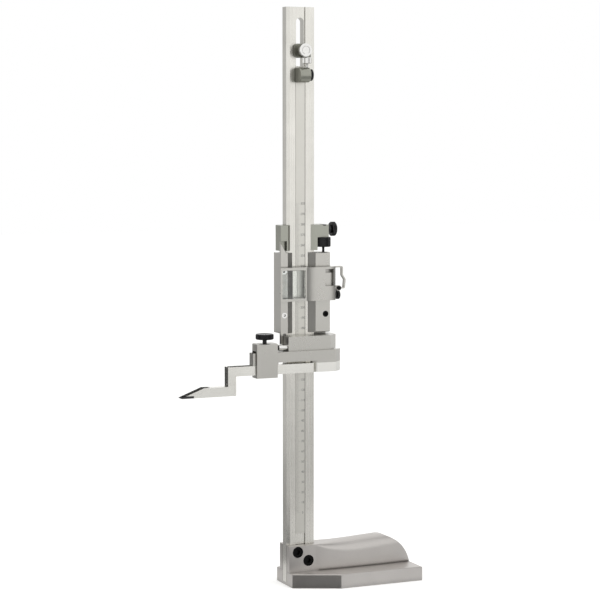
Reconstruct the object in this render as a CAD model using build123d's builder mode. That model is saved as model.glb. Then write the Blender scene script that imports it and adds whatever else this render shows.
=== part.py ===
# Vernier height gauge, 300 mm range, as an assembly of separate pieces.
# Millimetres. The origin lies on the surface that the base stands on, under the middle of the column.
# +Z is up, -Y is the graduated front, +X is the way the base reaches and -X the way the scriber points.
from build123d import *
import os

os.makedirs("parts", exist_ok=True)

# Fits
SLIDE_GAP = 0.15        # between the column and what slides on it, on each side
RUNNING_GAP = 0.05      # radial, a screw or sleeve that turns in its hole
SEAT_GAP = 0.05         # between a fastened piece and the pocket round it
FREE_GAP = 0.3          # between pieces that pass without touching

# Column
COLUMN_WIDTH = 29.0
COLUMN_DEPTH = 10.0
COLUMN_TOP = 557.0
COLUMN_FOOT = 3.0
EDGE_BREAK = 0.6
BAND_WIDTH = 3.6
BAND_DEPTH = 0.6
GROOVE_WIDTH = 10.2
GROOVE_DEPTH = 1.2
SLOT_WIDTH = 8.0
SLOT_MARGIN = 10.0
SLOT_LENGTH = 67.0
SLOT_HIGH = COLUMN_TOP - SLOT_MARGIN
SLOT_LOW = SLOT_HIGH - SLOT_LENGTH

HALF_WIDTH = COLUMN_WIDTH / 2
FRONT = -COLUMN_DEPTH / 2
BACK = COLUMN_DEPTH / 2

# Base
PLATE_THICKNESS = 13.6
BASE_RIGHT = 116.0
NARROW_HALF = 19.0
WIDE_HALF = 38.5
WEDGE_END = 28.5
BLOCK_HALF = 11.7
BLOCK_TOP = 39.2
GRIP_RISE = 3.4
GRIP_BLEND = 20.0
GRIP_SWELL = 1.0
GRIP_TAPER = 0.8
GRIP_FALL = 37.5
GRIP_SET_IN = 0.5
GRIP_END_RADIUS = 37.0
GRIP_FOOT = 4.0
CROWN_FLAT = 0.6
BLEND_FLAT = 4.4
RELIEF_DEPTH = 1.5
RELIEF_RIM = 9.0
RELIEF_START = 24.0
RELIEF_CORNER = 6.0

# Column clamping screws: place of each in the front of the block, and their sizes
UPPER_SCREW_DROP = 6.2
LOWER_SCREW_DROP = 15.0
CLAMP_SCREWS = [(-5.5, BLOCK_TOP - UPPER_SCREW_DROP), (5.7, BLOCK_TOP - LOWER_SCREW_DROP)]
CAP_HEAD_RADIUS = 5.0
CAP_HEAD_HEIGHT = 4.0
CAP_SHANK_RADIUS = 3.0
CAP_BORE_RADIUS = 5.5
CAP_BORE_DEPTH = 5.0
CAP_THREAD_LENGTH = 7.0
CAP_SOCKET = 5.0

# Main scale strip
SCALE_WIDTH = 10.0
SCALE_THICKNESS = 1.0
SCALE_START = 10.8

# Slider
LEFT_WALL = 7.3
RIGHT_WALL = 15.3
FRONT_WALL = 3.3
BACK_WALL = 5.0
SLIDER_LEFT = -HALF_WIDTH - LEFT_WALL
SLIDER_RIGHT = HALF_WIDTH + RIGHT_WALL
SLIDER_FRONT = FRONT - FRONT_WALL
SLIDER_BACK = BACK + BACK_WALL
SLIDER_HEIGHT = 77.1
WINDOW_LEFT = -8.8
WINDOW_RIGHT = 8.0
BEVEL_OUTER = 14.6
GIB_THICKNESS = 2.2
GIB_INSET = 3.5
GIB_SCREW_RADIUS = 1.5
GIB_SCREW_INSET = 10.0
FRONT_SCREW_EDGE = 4.7
FRONT_SCREW_X = SLIDER_RIGHT - FRONT_SCREW_EDGE
SCREW_INSET = 17.4
FRONT_HEAD_RADIUS = 2.95
FRONT_HEAD_HEIGHT = 3.0
FRONT_SHANK_RADIUS = 1.5
FRONT_SCREW_LENGTH = 6.0

# Block under the slider that carries the jaw
BLOCK_FRONT = -21.0
BLOCK_INSET = 2.5
BLOCK_LEFT = SLIDER_LEFT + BLOCK_INSET
BLOCK_BEVEL_INSET = 5.2
BLOCK_BEVEL_START = SLIDER_RIGHT - BLOCK_BEVEL_INSET
BLOCK_BEVEL = 9.9
BLOCK_BOTTOM = 230.5
BLOCK_HEIGHT = 13.7
NECK_GAP = 2.1
NECK_FRONT = 2.0
BLOCK_REAR = 8.0
LIP_EDGE = 0.3

# Heights that follow from the seat of the jaw under the block
BLOCK_CEILING = BLOCK_BOTTOM + BLOCK_HEIGHT
SLIDER_BOTTOM = BLOCK_CEILING + NECK_GAP
SLIDER_TOP = SLIDER_BOTTOM + SLIDER_HEIGHT
GIB_SCREW_HEIGHTS = [SLIDER_BOTTOM + GIB_SCREW_INSET, SLIDER_TOP - GIB_SCREW_INSET]
SCREW_HEIGHTS = [SLIDER_BOTTOM + SCREW_INSET, SLIDER_TOP - SCREW_INSET]

# Vernier plate
FINGER_RISE = 9.1
FINGER_WIDTH = 6.0
TONGUE_DROP = 10.3
TONGUE_WIDTH = 2.2
VERNIER_SCREW_EDGE = 3.8
VERNIER_SCREW_X = SLIDER_LEFT + VERNIER_SCREW_EDGE
VERNIER_HEAD_RADIUS = 2.8
VERNIER_SHANK_RADIUS = 1.5
VERNIER_SCREW_REACH = 5.0
VERNIER_SOCKET = 2.5

# Carriage
CARRIAGE_INSET = 1.4
CARRIAGE_RIGHT = SLIDER_RIGHT - CARRIAGE_INSET
CARRIAGE_BACK = SLIDER_BACK - 0.5
CARRIAGE_HEIGHT = 24.4
LUG_RISE = 12.4
FEED_SPACE = 2.1
LIP_INNER = 11.0
LIP_OUTER = 14.2
REAR_BEVEL = 5.0
FEED_UP = 1.8
SHOE_RADIUS = 2.6
SHOE_LENGTH = 1.8

# Fine feed
FEED_EDGE = 5.8
FEED_X = SLIDER_RIGHT - FEED_EDGE
FEED_Y = -5.2
FEED_ROD_RADIUS = 1.3
FEED_NUT_RADIUS = 7.1
FEED_NUT_HEIGHT = 9.35
FEED_SLEEVE_RADIUS = 2.0
RING_THICKNESS = 0.8
RING_STEP = 1.3
RING_RECESS = 1.0
FEED_ROD_SEAT = 12.0
FEED_ROD_DROP = 0.5
CARRIAGE_BOTTOM = SLIDER_TOP + FEED_SPACE
CARRIAGE_TOP = CARRIAGE_BOTTOM + CARRIAGE_HEIGHT
LUG_BOTTOM = CARRIAGE_BOTTOM + LUG_RISE

# Thumb screws on the right side
KNOB_RADIUS = 6.9
KNOB_LENGTH = 4.5
KNOB_NECK = 5.45
CARRIAGE_SCREW_DROP = 4.7
CARRIAGE_SCREW_Z = CARRIAGE_TOP - CARRIAGE_SCREW_DROP
SLIDER_KNOB_RADIUS = 4.4
SLIDER_KNOB_LENGTH = 3.0
SLIDER_KNOB_NECK = 10.05
SLIDER_SCREW_RISE = 34.9
SLIDER_SCREW_Z = SLIDER_BOTTOM + SLIDER_SCREW_RISE
SIDE_SHANK_RADIUS = 2.0
COLLAR_RADIUS = 4.0
RIM_BREAK = 0.4

# Magnifier
FRAME_OVERHANG = 3.8
FLANGE_THICKNESS = 1.5
FRAME_LEFT = SLIDER_LEFT - FRAME_OVERHANG
FRAME_RIGHT = SLIDER_RIGHT + FREE_GAP + FLANGE_THICKNESS
FRAME_RISE = 31.3
FRAME_HEIGHT = 32.2
FRAME_BOTTOM = SLIDER_BOTTOM + FRAME_RISE
FRAME_TOP = FRAME_BOTTOM + FRAME_HEIGHT
FRAME_FRONT = -17.0
FRAME_REAR = -11.0
FRAME_BULGE = 2.8
LENS_INSET = 1.8
LENS_WIDTH = 24.0
LENS_LEFT = FRAME_LEFT + LENS_INSET
LENS_RIGHT = LENS_LEFT + LENS_WIDTH
FRAME_RIM = 2.6
FLANGE_REAR = -4.4
LENS_BULGE = 2.2
POCKET_EDGE = 2.2
POCKET_WIDTH = 9.6
POCKET_RIGHT = FRAME_RIGHT - POCKET_EDGE
POCKET_LEFT = POCKET_RIGHT - POCKET_WIDTH
POCKET_INSET = 2.0
POCKET_HEIGHT = 16.3
POCKET_DEPTH = 2.2
POCKET_SLOT_HEIGHT = 3.8
POCKET_SLOT_DEPTH = 4.8
KEYWAY_INSET = 7.7
KEY_DEPTH = 1.25
KEY_MOUTH = 2.0
KEY_ROOT = 3.0
KEY_Y = -6.1
LOOP_LENGTH = 9.7
LOOP_REACH = FRAME_RIGHT + LOOP_LENGTH
LOOP_KINK = 2.9
LOOP_WIDTH = 4.0
LOOP_THICKNESS = 1.4
LOOP_Y = -10.0
LOOP_RISE = 11.0
LOOP_STRAIGHT = 8.0
PIN_RADIUS = 2.0

# Jaw and scriber
JAW_FRONT = -24.0
BAR_DEPTH = 9.0
JAW_BEVEL_STEP = 4.2
JAW_BEVEL_START = BLOCK_BEVEL_START + JAW_BEVEL_STEP
JAW_BEVEL = 8.4
JAW_DEPTH = 11.9
SHANK_HEIGHT = 9.0
RELIEF_RISE = 2.1
SHANK_TOP = BLOCK_BOTTOM - JAW_DEPTH
RELIEF_TOP = SHANK_TOP + RELIEF_RISE
SHOULDER_LEFT = 6.0
SHOULDER_BEVEL = 4.4
SCRIBER_LEG_WIDTH = 8.2
SCRIBER_DROP = 18.4
SCRIBER_REACH = 25.4
SCRIBER_ARM = 24.1
SCRIBER_BEVEL = 22.2
TIP_LENGTH = 12.0
TIP_THICKNESS = 2.2
TIP_EDGE = 0.6
SCRIBER_END_GAP = 0.4
LEFT_SCREW_INSET = 11.3
RIGHT_SCREW_INSET = 2.6
JAW_SCREW_PLACES = [BLOCK_LEFT + LEFT_SCREW_INSET, BLOCK_BEVEL_START - RIGHT_SCREW_INSET]
JAW_SCREW_Y = -18.4
JAW_HEAD_RADIUS = 2.6
JAW_HEAD_HEIGHT = 3.0
JAW_SHANK_RADIUS = 1.5
JAW_SCREW_REACH = 8.0
SIDE_SCREW_Y = -17.0
SIDE_SCREW_RISE = 3.4
SIDE_SCREW_RADIUS = 3.0
SIDE_SCREW_LENGTH = 9.4
SIDE_SCREW_SHANK = 1.6
SIDE_SCREW_REACH = 6.0

# Scriber clamp
CLAMP_SPACE = 4.1
CLAMP_WIDTH = 21.2
CLAMP_MARGIN = 3.1
RELIEF_STEP = 1.8
CLAMP_RIGHT = BLOCK_LEFT - SIDE_SCREW_LENGTH - CLAMP_SPACE
CLAMP_LEFT = CLAMP_RIGHT - CLAMP_WIDTH
JAW_LEFT = CLAMP_LEFT - CLAMP_MARGIN
RELIEF_LEFT = CLAMP_RIGHT + RELIEF_STEP
SCRIBER_LEG_LEFT = JAW_LEFT - SCRIBER_REACH
SCRIBER_BEVEL_X = SCRIBER_LEG_LEFT - SCRIBER_ARM
SCRIBER_TIP_X = SCRIBER_BEVEL_X - SCRIBER_BEVEL
CLAMP_CROWN = 7.0
CLAMP_WALL = 2.5
CLAMP_HEAD_RADIUS = 8.6
CLAMP_HEAD_HEIGHT = 5.2
CLAMP_STEM_LENGTH = 3.8
CLAMP_STEM_RADIUS = 2.0
PAD_THICKNESS = 1.6
CLAMP_FLOOR = 3.0

# Scale adjuster
ADJUSTER_DROP = 31.2
ADJUSTER_Z = SLOT_HIGH - ADJUSTER_DROP
CLAMP_BLOCK_REACH = 7.4
CLAMP_BLOCK_HALF = 6.5
CLAMP_BLOCK_CORNER = 3.5
CLAMP_BLOCK_FRONT = -7.6
CLAMP_PLATE_THICKNESS = 3.0
KEY_SHORTFALL = 2.0
EAR_RADIUS = 3.7
EAR_DROP = 3.4
EAR_HEIGHT = 3.2
EAR_TOP = ADJUSTER_Z - EAR_DROP
EAR_BOTTOM = EAR_TOP - EAR_HEIGHT
FEED_STUD_X = 4.2
FEED_STUD_Y = -10.9
STUD_RISE = 2.1
STUD_TOP = EAR_TOP + STUD_RISE
FEED_STUD_RADIUS = 1.25
SMALL_NUT_RADIUS = 4.2
SMALL_NUT_HEIGHT = 5.75
SMALL_SLEEVE_RADIUS = 2.1
BARREL_RADIUS = 7.0
BARREL_DROP = 23.2
BARREL_Z = ADJUSTER_Z - BARREL_DROP
BARREL_Y = -12.9
BARREL_HALF = 5.5
BRIGHT_KNOB_RADIUS = 6.4
BRIGHT_KNOB_LENGTH = 3.5
BRIGHT_NECK_LENGTH = 7.35
BRIGHT_NECK_RADIUS = 2.2
BRIGHT_SHANK_RADIUS = 1.6
LOCK_KNOB_RADIUS = 5.5
LOCK_KNOB_LENGTH = 1.7
LOCK_NECK_LENGTH = 0.95
LOCK_SHANK_RADIUS = 2.0
RIVET_RADIUS = 1.2
RIVET_REACH = 3.0
RIVET_HALF_PITCH = 4.0
SCALE_TOP_REACH = 8.4
SCALE_TOP = BARREL_Z + SCALE_TOP_REACH
SCALE_BOTTOM = BLOCK_TOP + SCALE_START

BOTTOM = (Align.CENTER, Align.CENTER, Align.MIN)
TOP = (Align.CENTER, Align.CENTER, Align.MAX)


def thumb_screw(seat, head_radius, head_length, neck_radius, neck_length, shank_radius, shank_length):
    """A thumb screw on the plane of its seat: neck and head outwards, shank inwards."""
    with BuildPart(seat) as screw:
        Cylinder(neck_radius, neck_length, align=BOTTOM)
        Cylinder(shank_radius, shank_length, align=TOP)
        with Locations((0, 0, neck_length)):
            Cylinder(head_radius, head_length, align=BOTTOM)
        rims = screw.edges().filter_by(GeomType.CIRCLE)
        chamfer(rims.filter_by(lambda rim: abs(rim.radius - head_radius) < 0.01), length=RIM_BREAK)
    return screw.part


def sleeve_nut(seat, radius, height, sleeve_radius, sleeve_length, bore_radius):
    """A round nut hanging under the plane of its seat, with a sleeve that goes up through the seat."""
    with BuildPart(seat) as nut:
        Cylinder(radius, height, align=TOP)
        chamfer(nut.edges().filter_by(GeomType.CIRCLE), length=RIM_BREAK)
        Cylinder(sleeve_radius, sleeve_length, align=BOTTOM)
        Cylinder(bore_radius, 2 * (height + sleeve_length), mode=Mode.SUBTRACT)
    return nut.part


def retaining_ring(seat, outer_radius, inner_radius):
    """A flat ring on the plane of its seat."""
    with BuildPart(seat) as ring:
        Cylinder(outer_radius, RING_THICKNESS, align=BOTTOM)
        Cylinder(inner_radius, RING_THICKNESS, align=BOTTOM, mode=Mode.SUBTRACT)
    return ring.part


def side_plane(x, y, z):
    """A plane that faces +X, at a point."""
    return Plane(origin=(x, y, z), x_dir=(0, 1, 0), z_dir=(1, 0, 0))


def front_plane(x, y, z):
    """A plane that faces -Y, at a point."""
    return Plane(origin=(x, y, z), x_dir=(1, 0, 0), z_dir=(0, -1, 0))


def grip_section(x, half, crown, flat):
    """Cross-section of the hand grip: upright sides, a rounded top with a narrow flat and an undercut foot."""
    with BuildSketch(Plane.YZ.offset(x)) as section:
        with Locations((0, PLATE_THICKNESS - GRIP_FOOT / 2)):
            Rectangle(2 * half, crown - PLATE_THICKNESS + GRIP_FOOT / 2, align=(Align.CENTER, Align.MIN))
        corners = section.vertices().group_by(Axis.Y)
        fillet(corners[-1], half - flat)
        fillet(section.vertices().group_by(Axis.Y)[0], GRIP_FOOT)
    return section.sketch


# Base: a wedge-shaped ground plate, the column block and the hand grip in one casting
GRIP_TOP = BLOCK_TOP + GRIP_RISE
GRIP_END = BASE_RIGHT - GRIP_SET_IN
GRIP_CREST = GRIP_END - GRIP_FALL
with BuildPart() as grip:
    loft([
        grip_section(HALF_WIDTH - 2 * EDGE_BREAK, BLOCK_HALF, BLOCK_TOP, BLOCK_HALF - EDGE_BREAK),
        grip_section(HALF_WIDTH + GRIP_BLEND, BLOCK_HALF + GRIP_SWELL, BLOCK_TOP + EDGE_BREAK, BLEND_FLAT),
        grip_section(GRIP_CREST, BLOCK_HALF + GRIP_SWELL, GRIP_TOP, CROWN_FLAT),
        grip_section(BASE_RIGHT, BLOCK_HALF - GRIP_TAPER, GRIP_TOP, CROWN_FLAT),
    ])
    with BuildSketch(Plane.XZ) as elevation:
        with BuildLine():
            Line((GRIP_END, PLATE_THICKNESS), (GRIP_END, 0))
            Line((GRIP_END, 0), (0, 0))
            Line((0, 0), (0, 2 * GRIP_TOP))
            Line((0, 2 * GRIP_TOP), (GRIP_CREST, 2 * GRIP_TOP))
            Line((GRIP_CREST, 2 * GRIP_TOP), (GRIP_CREST, GRIP_TOP))
            RadiusArc((GRIP_CREST, GRIP_TOP), (GRIP_END, PLATE_THICKNESS), GRIP_END_RADIUS)
        make_face()
    extrude(amount=WIDE_HALF, both=True, mode=Mode.INTERSECT)

with BuildPart() as base:
    with BuildSketch() as outline:
        with BuildLine():
            Polyline(
                (-HALF_WIDTH, -NARROW_HALF),
                (WEDGE_END, -WIDE_HALF),
                (BASE_RIGHT, -WIDE_HALF),
                (BASE_RIGHT, WIDE_HALF),
                (WEDGE_END, WIDE_HALF),
                (-HALF_WIDTH, NARROW_HALF),
                close=True,
            )
        make_face()
    extrude(amount=PLATE_THICKNESS)
    chamfer(base.edges().filter_by(Plane.XY).group_by(Axis.Z)[-1], length=EDGE_BREAK)
    with BuildSketch() as relief:
        with Locations((RELIEF_START, 0)):
            Rectangle(
                BASE_RIGHT - RELIEF_RIM - RELIEF_START,
                2 * (WIDE_HALF - RELIEF_RIM),
                align=(Align.MIN, Align.CENTER),
            )
        fillet(relief.vertices(), RELIEF_CORNER)
    extrude(amount=RELIEF_DEPTH, mode=Mode.SUBTRACT)
    with BuildSketch(Plane.XY.offset(PLATE_THICKNESS)) as block_outline:
        with Locations((-HALF_WIDTH, 0)):
            Rectangle(COLUMN_WIDTH + 2, 2 * BLOCK_HALF, align=(Align.MIN, Align.CENTER))
    extrude(amount=BLOCK_TOP - PLATE_THICKNESS)
    add(grip.part)
    with Locations((-HALF_WIDTH, 0, COLUMN_FOOT)):
        Box(
            COLUMN_WIDTH + SEAT_GAP,
            COLUMN_DEPTH + 2 * SEAT_GAP,
            BLOCK_TOP,
            align=(Align.MIN, Align.CENTER, Align.MIN),
            mode=Mode.SUBTRACT,
        )
    for screw_x, screw_z in CLAMP_SCREWS:
        with Locations(front_plane(screw_x, -BLOCK_HALF, screw_z).location):
            CounterBoreHole(
                CAP_SHANK_RADIUS + RUNNING_GAP,
                CAP_BORE_RADIUS,
                CAP_BORE_DEPTH,
                depth=BLOCK_HALF + FRONT,
            )
base.part.label = "base"
export_step(base.part, "parts/base.step")

# Column: a ground flat bar with shallow bands along its front edges, the scale groove and a through slot
with BuildPart() as column:
    with BuildSketch(Plane.XY.offset(COLUMN_FOOT)) as bar:
        Rectangle(COLUMN_WIDTH, COLUMN_DEPTH)
        chamfer(bar.vertices().group_by(Axis.Y)[-1], EDGE_BREAK)
        for side in (-1, 1):
            with BuildLine():
                Polyline(
                    (side * HALF_WIDTH, FRONT),
                    (side * (HALF_WIDTH - BAND_WIDTH), FRONT),
                    (side * HALF_WIDTH, FRONT + BAND_DEPTH),
                    close=True,
                )
            make_face(mode=Mode.SUBTRACT)
        with Locations((0, FRONT)):
            Rectangle(GROOVE_WIDTH, 2 * GROOVE_DEPTH, mode=Mode.SUBTRACT)
    extrude(amount=COLUMN_TOP - COLUMN_FOOT)
    with BuildSketch(Plane.XZ) as slot:
        with Locations((0, (SLOT_LOW + SLOT_HIGH) / 2)):
            SlotOverall(SLOT_HIGH - SLOT_LOW, SLOT_WIDTH, rotation=90)
    extrude(amount=COLUMN_DEPTH, both=True, mode=Mode.SUBTRACT)
    for screw_x, screw_z in CLAMP_SCREWS:
        with Locations(front_plane(screw_x, FRONT, screw_z).location):
            Cylinder(CAP_SHANK_RADIUS + RUNNING_GAP, 2 * CAP_THREAD_LENGTH, mode=Mode.SUBTRACT)
column.part.label = "column"
export_step(column.part, "parts/column.step")

# Column screws: socket-head cap screws from the front of the block into the column
with BuildPart() as column_screws:
    for screw_x, screw_z in CLAMP_SCREWS:
        head_seat = front_plane(screw_x, -BLOCK_HALF + CAP_BORE_DEPTH, screw_z)
        with Locations(head_seat.location):
            Cylinder(CAP_HEAD_RADIUS, CAP_HEAD_HEIGHT, align=BOTTOM)
            Cylinder(CAP_SHANK_RADIUS, CAP_THREAD_LENGTH, align=TOP)
        with BuildSketch(head_seat.offset(CAP_HEAD_HEIGHT)):
            RegularPolygon(CAP_SOCKET / 2, 6, major_radius=False)
        extrude(amount=-CAP_HEAD_HEIGHT / 2, mode=Mode.SUBTRACT)
column_screws.part.label = "column_screws"
export_step(column_screws.part, "parts/column_screws.step")

# Main scale: the strip that lies in the column's groove
SCALE_FRONT = FRONT + GROOVE_DEPTH - SEAT_GAP - SCALE_THICKNESS
RIVET_HEIGHTS = [BARREL_Z - RIVET_HALF_PITCH, BARREL_Z + RIVET_HALF_PITCH]
with BuildPart() as main_scale:
    with BuildSketch(Plane.XY.offset(SCALE_BOTTOM)) as strip:
        with Locations((0, SCALE_FRONT)):
            Rectangle(SCALE_WIDTH, SCALE_THICKNESS, align=(Align.CENTER, Align.MIN))
    extrude(amount=SCALE_TOP - SCALE_BOTTOM)
    chamfer(main_scale.faces().sort_by(Axis.Y)[0].edges().filter_by(Axis.Z), length=0.3)
    for rivet_z in RIVET_HEIGHTS:
        with Locations(front_plane(0, SCALE_FRONT, rivet_z).location):
            Cylinder(RIVET_RADIUS, 3 * SCALE_THICKNESS, mode=Mode.SUBTRACT)
main_scale.part.label = "main_scale"
export_step(main_scale.part, "parts/main_scale.step")

# Scale bracket: a cross barrel on a foot that is riveted to the strip, with a seat for the feed screw
STUD_BOTTOM = BARREL_Z + 2.6
with BuildPart() as scale_bracket:
    with BuildSketch(Plane.YZ.offset(-BARREL_HALF)) as barrel:
        with Locations((BARREL_Y, BARREL_Z)):
            Circle(BARREL_RADIUS)
            Rectangle(FRONT - FREE_GAP - BARREL_Y, 2 * BARREL_RADIUS, align=(Align.MIN, Align.CENTER))
    extrude(amount=2 * BARREL_HALF)
    barrel_rims = scale_bracket.edges().filter_by(GeomType.CIRCLE)
    chamfer(barrel_rims, length=0.8)
    with Locations((0, SCALE_FRONT, BARREL_Z)):
        Box(
            SCALE_WIDTH - 2 * EDGE_BREAK,
            FREE_GAP + SCALE_FRONT - FRONT + 1,
            2 * BARREL_RADIUS - 2,
            align=(Align.CENTER, Align.MAX, Align.CENTER),
        )
    with Locations((FEED_STUD_X, FEED_STUD_Y, STUD_BOTTOM)):
        Cylinder(FEED_STUD_RADIUS + SEAT_GAP, BARREL_RADIUS, align=BOTTOM, mode=Mode.SUBTRACT)
    with Locations(side_plane(BARREL_HALF, BARREL_Y, BARREL_Z).location):
        Cylinder(LOCK_SHANK_RADIUS + RUNNING_GAP, 2 * BARREL_HALF, mode=Mode.SUBTRACT)
    for rivet_z in RIVET_HEIGHTS:
        with Locations(front_plane(0, SCALE_FRONT, rivet_z).location):
            Cylinder(RIVET_RADIUS + SEAT_GAP, 2 * RIVET_REACH, mode=Mode.SUBTRACT)
scale_bracket.part.label = "scale_bracket"
export_step(scale_bracket.part, "parts/scale_bracket.step")

# Scale rivets: two plain rivets through the strip into the bracket's foot
with BuildPart() as scale_rivets:
    for rivet_z in RIVET_HEIGHTS:
        with Locations(front_plane(0, SCALE_FRONT + SCALE_THICKNESS, rivet_z).location):
            Cylinder(RIVET_RADIUS, SCALE_THICKNESS + RIVET_REACH - 0.2, align=BOTTOM)
scale_rivets.part.label = "scale_rivets"
export_step(scale_rivets.part, "parts/scale_rivets.step")

# Scale feed screw: a thin stud that stands in the bracket and rises through the clamp block's ear
with BuildPart() as scale_feed_screw:
    with Locations((FEED_STUD_X, FEED_STUD_Y, STUD_BOTTOM)):
        Cylinder(FEED_STUD_RADIUS, STUD_TOP - STUD_BOTTOM, align=BOTTOM)
    chamfer(scale_feed_screw.edges().sort_by(Axis.Z)[-1], length=0.4)
scale_feed_screw.part.label = "scale_feed_screw"
export_step(scale_feed_screw.part, "parts/scale_feed_screw.step")

# Scale lock screw: black thumb screw in the right end of the barrel
with BuildPart() as scale_lock_screw:
    add(thumb_screw(
        side_plane(BARREL_HALF + SEAT_GAP, BARREL_Y, BARREL_Z),
        LOCK_KNOB_RADIUS,
        LOCK_KNOB_LENGTH,
        LOCK_SHANK_RADIUS + RIM_BREAK,
        LOCK_NECK_LENGTH,
        LOCK_SHANK_RADIUS,
        BARREL_HALF,
    ))
scale_lock_screw.part.label = "scale_lock_screw"
export_step(scale_lock_screw.part, "parts/scale_lock_screw.step")

# Scale clamp block: plate in front of the slot, a key in the slot and an ear for the feed nut
with BuildPart() as scale_clamp_block:
    with BuildSketch(Plane.XZ.offset(-FRONT + SLIDE_GAP)) as block_face:
        with Locations((0, ADJUSTER_Z)):
            RectangleRounded(2 * CLAMP_BLOCK_REACH, 2 * CLAMP_BLOCK_HALF, CLAMP_BLOCK_CORNER)
    extrude(amount=-CLAMP_BLOCK_FRONT + FRONT - SLIDE_GAP)
    with Locations((0, FRONT - SLIDE_GAP, ADJUSTER_Z)):
        Box(
            SLOT_WIDTH - 2 * SLIDE_GAP,
            COLUMN_DEPTH - KEY_SHORTFALL,
            2 * CLAMP_BLOCK_HALF - 2,
            align=(Align.CENTER, Align.MIN, Align.CENTER),
        )
    with BuildSketch(Plane.XY.offset(EAR_BOTTOM)) as ear:
        with Locations((FEED_STUD_X, FEED_STUD_Y)):
            Circle(EAR_RADIUS)
            Rectangle(2 * EAR_RADIUS, CLAMP_BLOCK_FRONT - FEED_STUD_Y + 1, align=(Align.CENTER, Align.MIN))
            Circle(SMALL_SLEEVE_RADIUS + RUNNING_GAP, mode=Mode.SUBTRACT)
    extrude(amount=EAR_TOP - EAR_BOTTOM)
    with Locations(front_plane(0, FRONT, ADJUSTER_Z).location):
        Cylinder(BRIGHT_SHANK_RADIUS + RUNNING_GAP, 4 * COLUMN_DEPTH, mode=Mode.SUBTRACT)
scale_clamp_block.part.label = "scale_clamp_block"
export_step(scale_clamp_block.part, "parts/scale_clamp_block.step")

# Scale clamp plate: nut plate behind the slot
with BuildPart() as scale_clamp_plate:
    with BuildSketch(Plane.XZ.offset(-BACK - SLIDE_GAP)) as plate_face:
        with Locations((0, ADJUSTER_Z)):
            RectangleRounded(2 * CLAMP_BLOCK_REACH, 2 * CLAMP_BLOCK_HALF, CLAMP_BLOCK_CORNER)
            Circle(BRIGHT_SHANK_RADIUS + RUNNING_GAP, mode=Mode.SUBTRACT)
    extrude(amount=-CLAMP_PLATE_THICKNESS)
scale_clamp_plate.part.label = "scale_clamp_plate"
export_step(scale_clamp_plate.part, "parts/scale_clamp_plate.step")

# Scale clamp screw: bright thumb screw that draws block and plate together on the column
with BuildPart() as scale_clamp_screw:
    add(thumb_screw(
        front_plane(0, CLAMP_BLOCK_FRONT - SEAT_GAP, ADJUSTER_Z),
        BRIGHT_KNOB_RADIUS,
        BRIGHT_KNOB_LENGTH,
        BRIGHT_NECK_RADIUS,
        BRIGHT_NECK_LENGTH,
        BRIGHT_SHANK_RADIUS,
        BACK + CLAMP_PLATE_THICKNESS + 2 * EDGE_BREAK - CLAMP_BLOCK_FRONT,
    ))
scale_clamp_screw.part.label = "scale_clamp_screw"
export_step(scale_clamp_screw.part, "parts/scale_clamp_screw.step")

# Scale feed nut and its ring: the nut turns in the ear and lifts or lowers the stud
with BuildPart() as scale_feed_nut:
    add(sleeve_nut(
        Plane(origin=(FEED_STUD_X, FEED_STUD_Y, EAR_BOTTOM - SEAT_GAP)),
        SMALL_NUT_RADIUS,
        SMALL_NUT_HEIGHT,
        SMALL_SLEEVE_RADIUS,
        EAR_TOP - EAR_BOTTOM + 2 * SEAT_GAP + RING_THICKNESS,
        FEED_STUD_RADIUS + RUNNING_GAP,
    ))
scale_feed_nut.part.label = "scale_feed_nut"
export_step(scale_feed_nut.part, "parts/scale_feed_nut.step")

with BuildPart() as scale_feed_ring:
    add(retaining_ring(
        Plane(origin=(FEED_STUD_X, FEED_STUD_Y, EAR_TOP + SEAT_GAP)),
        SMALL_SLEEVE_RADIUS + RING_STEP - 0.4,
        SMALL_SLEEVE_RADIUS,
    ))
scale_feed_ring.part.label = "scale_feed_ring"
export_step(scale_feed_ring.part, "parts/scale_feed_ring.step")

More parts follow.
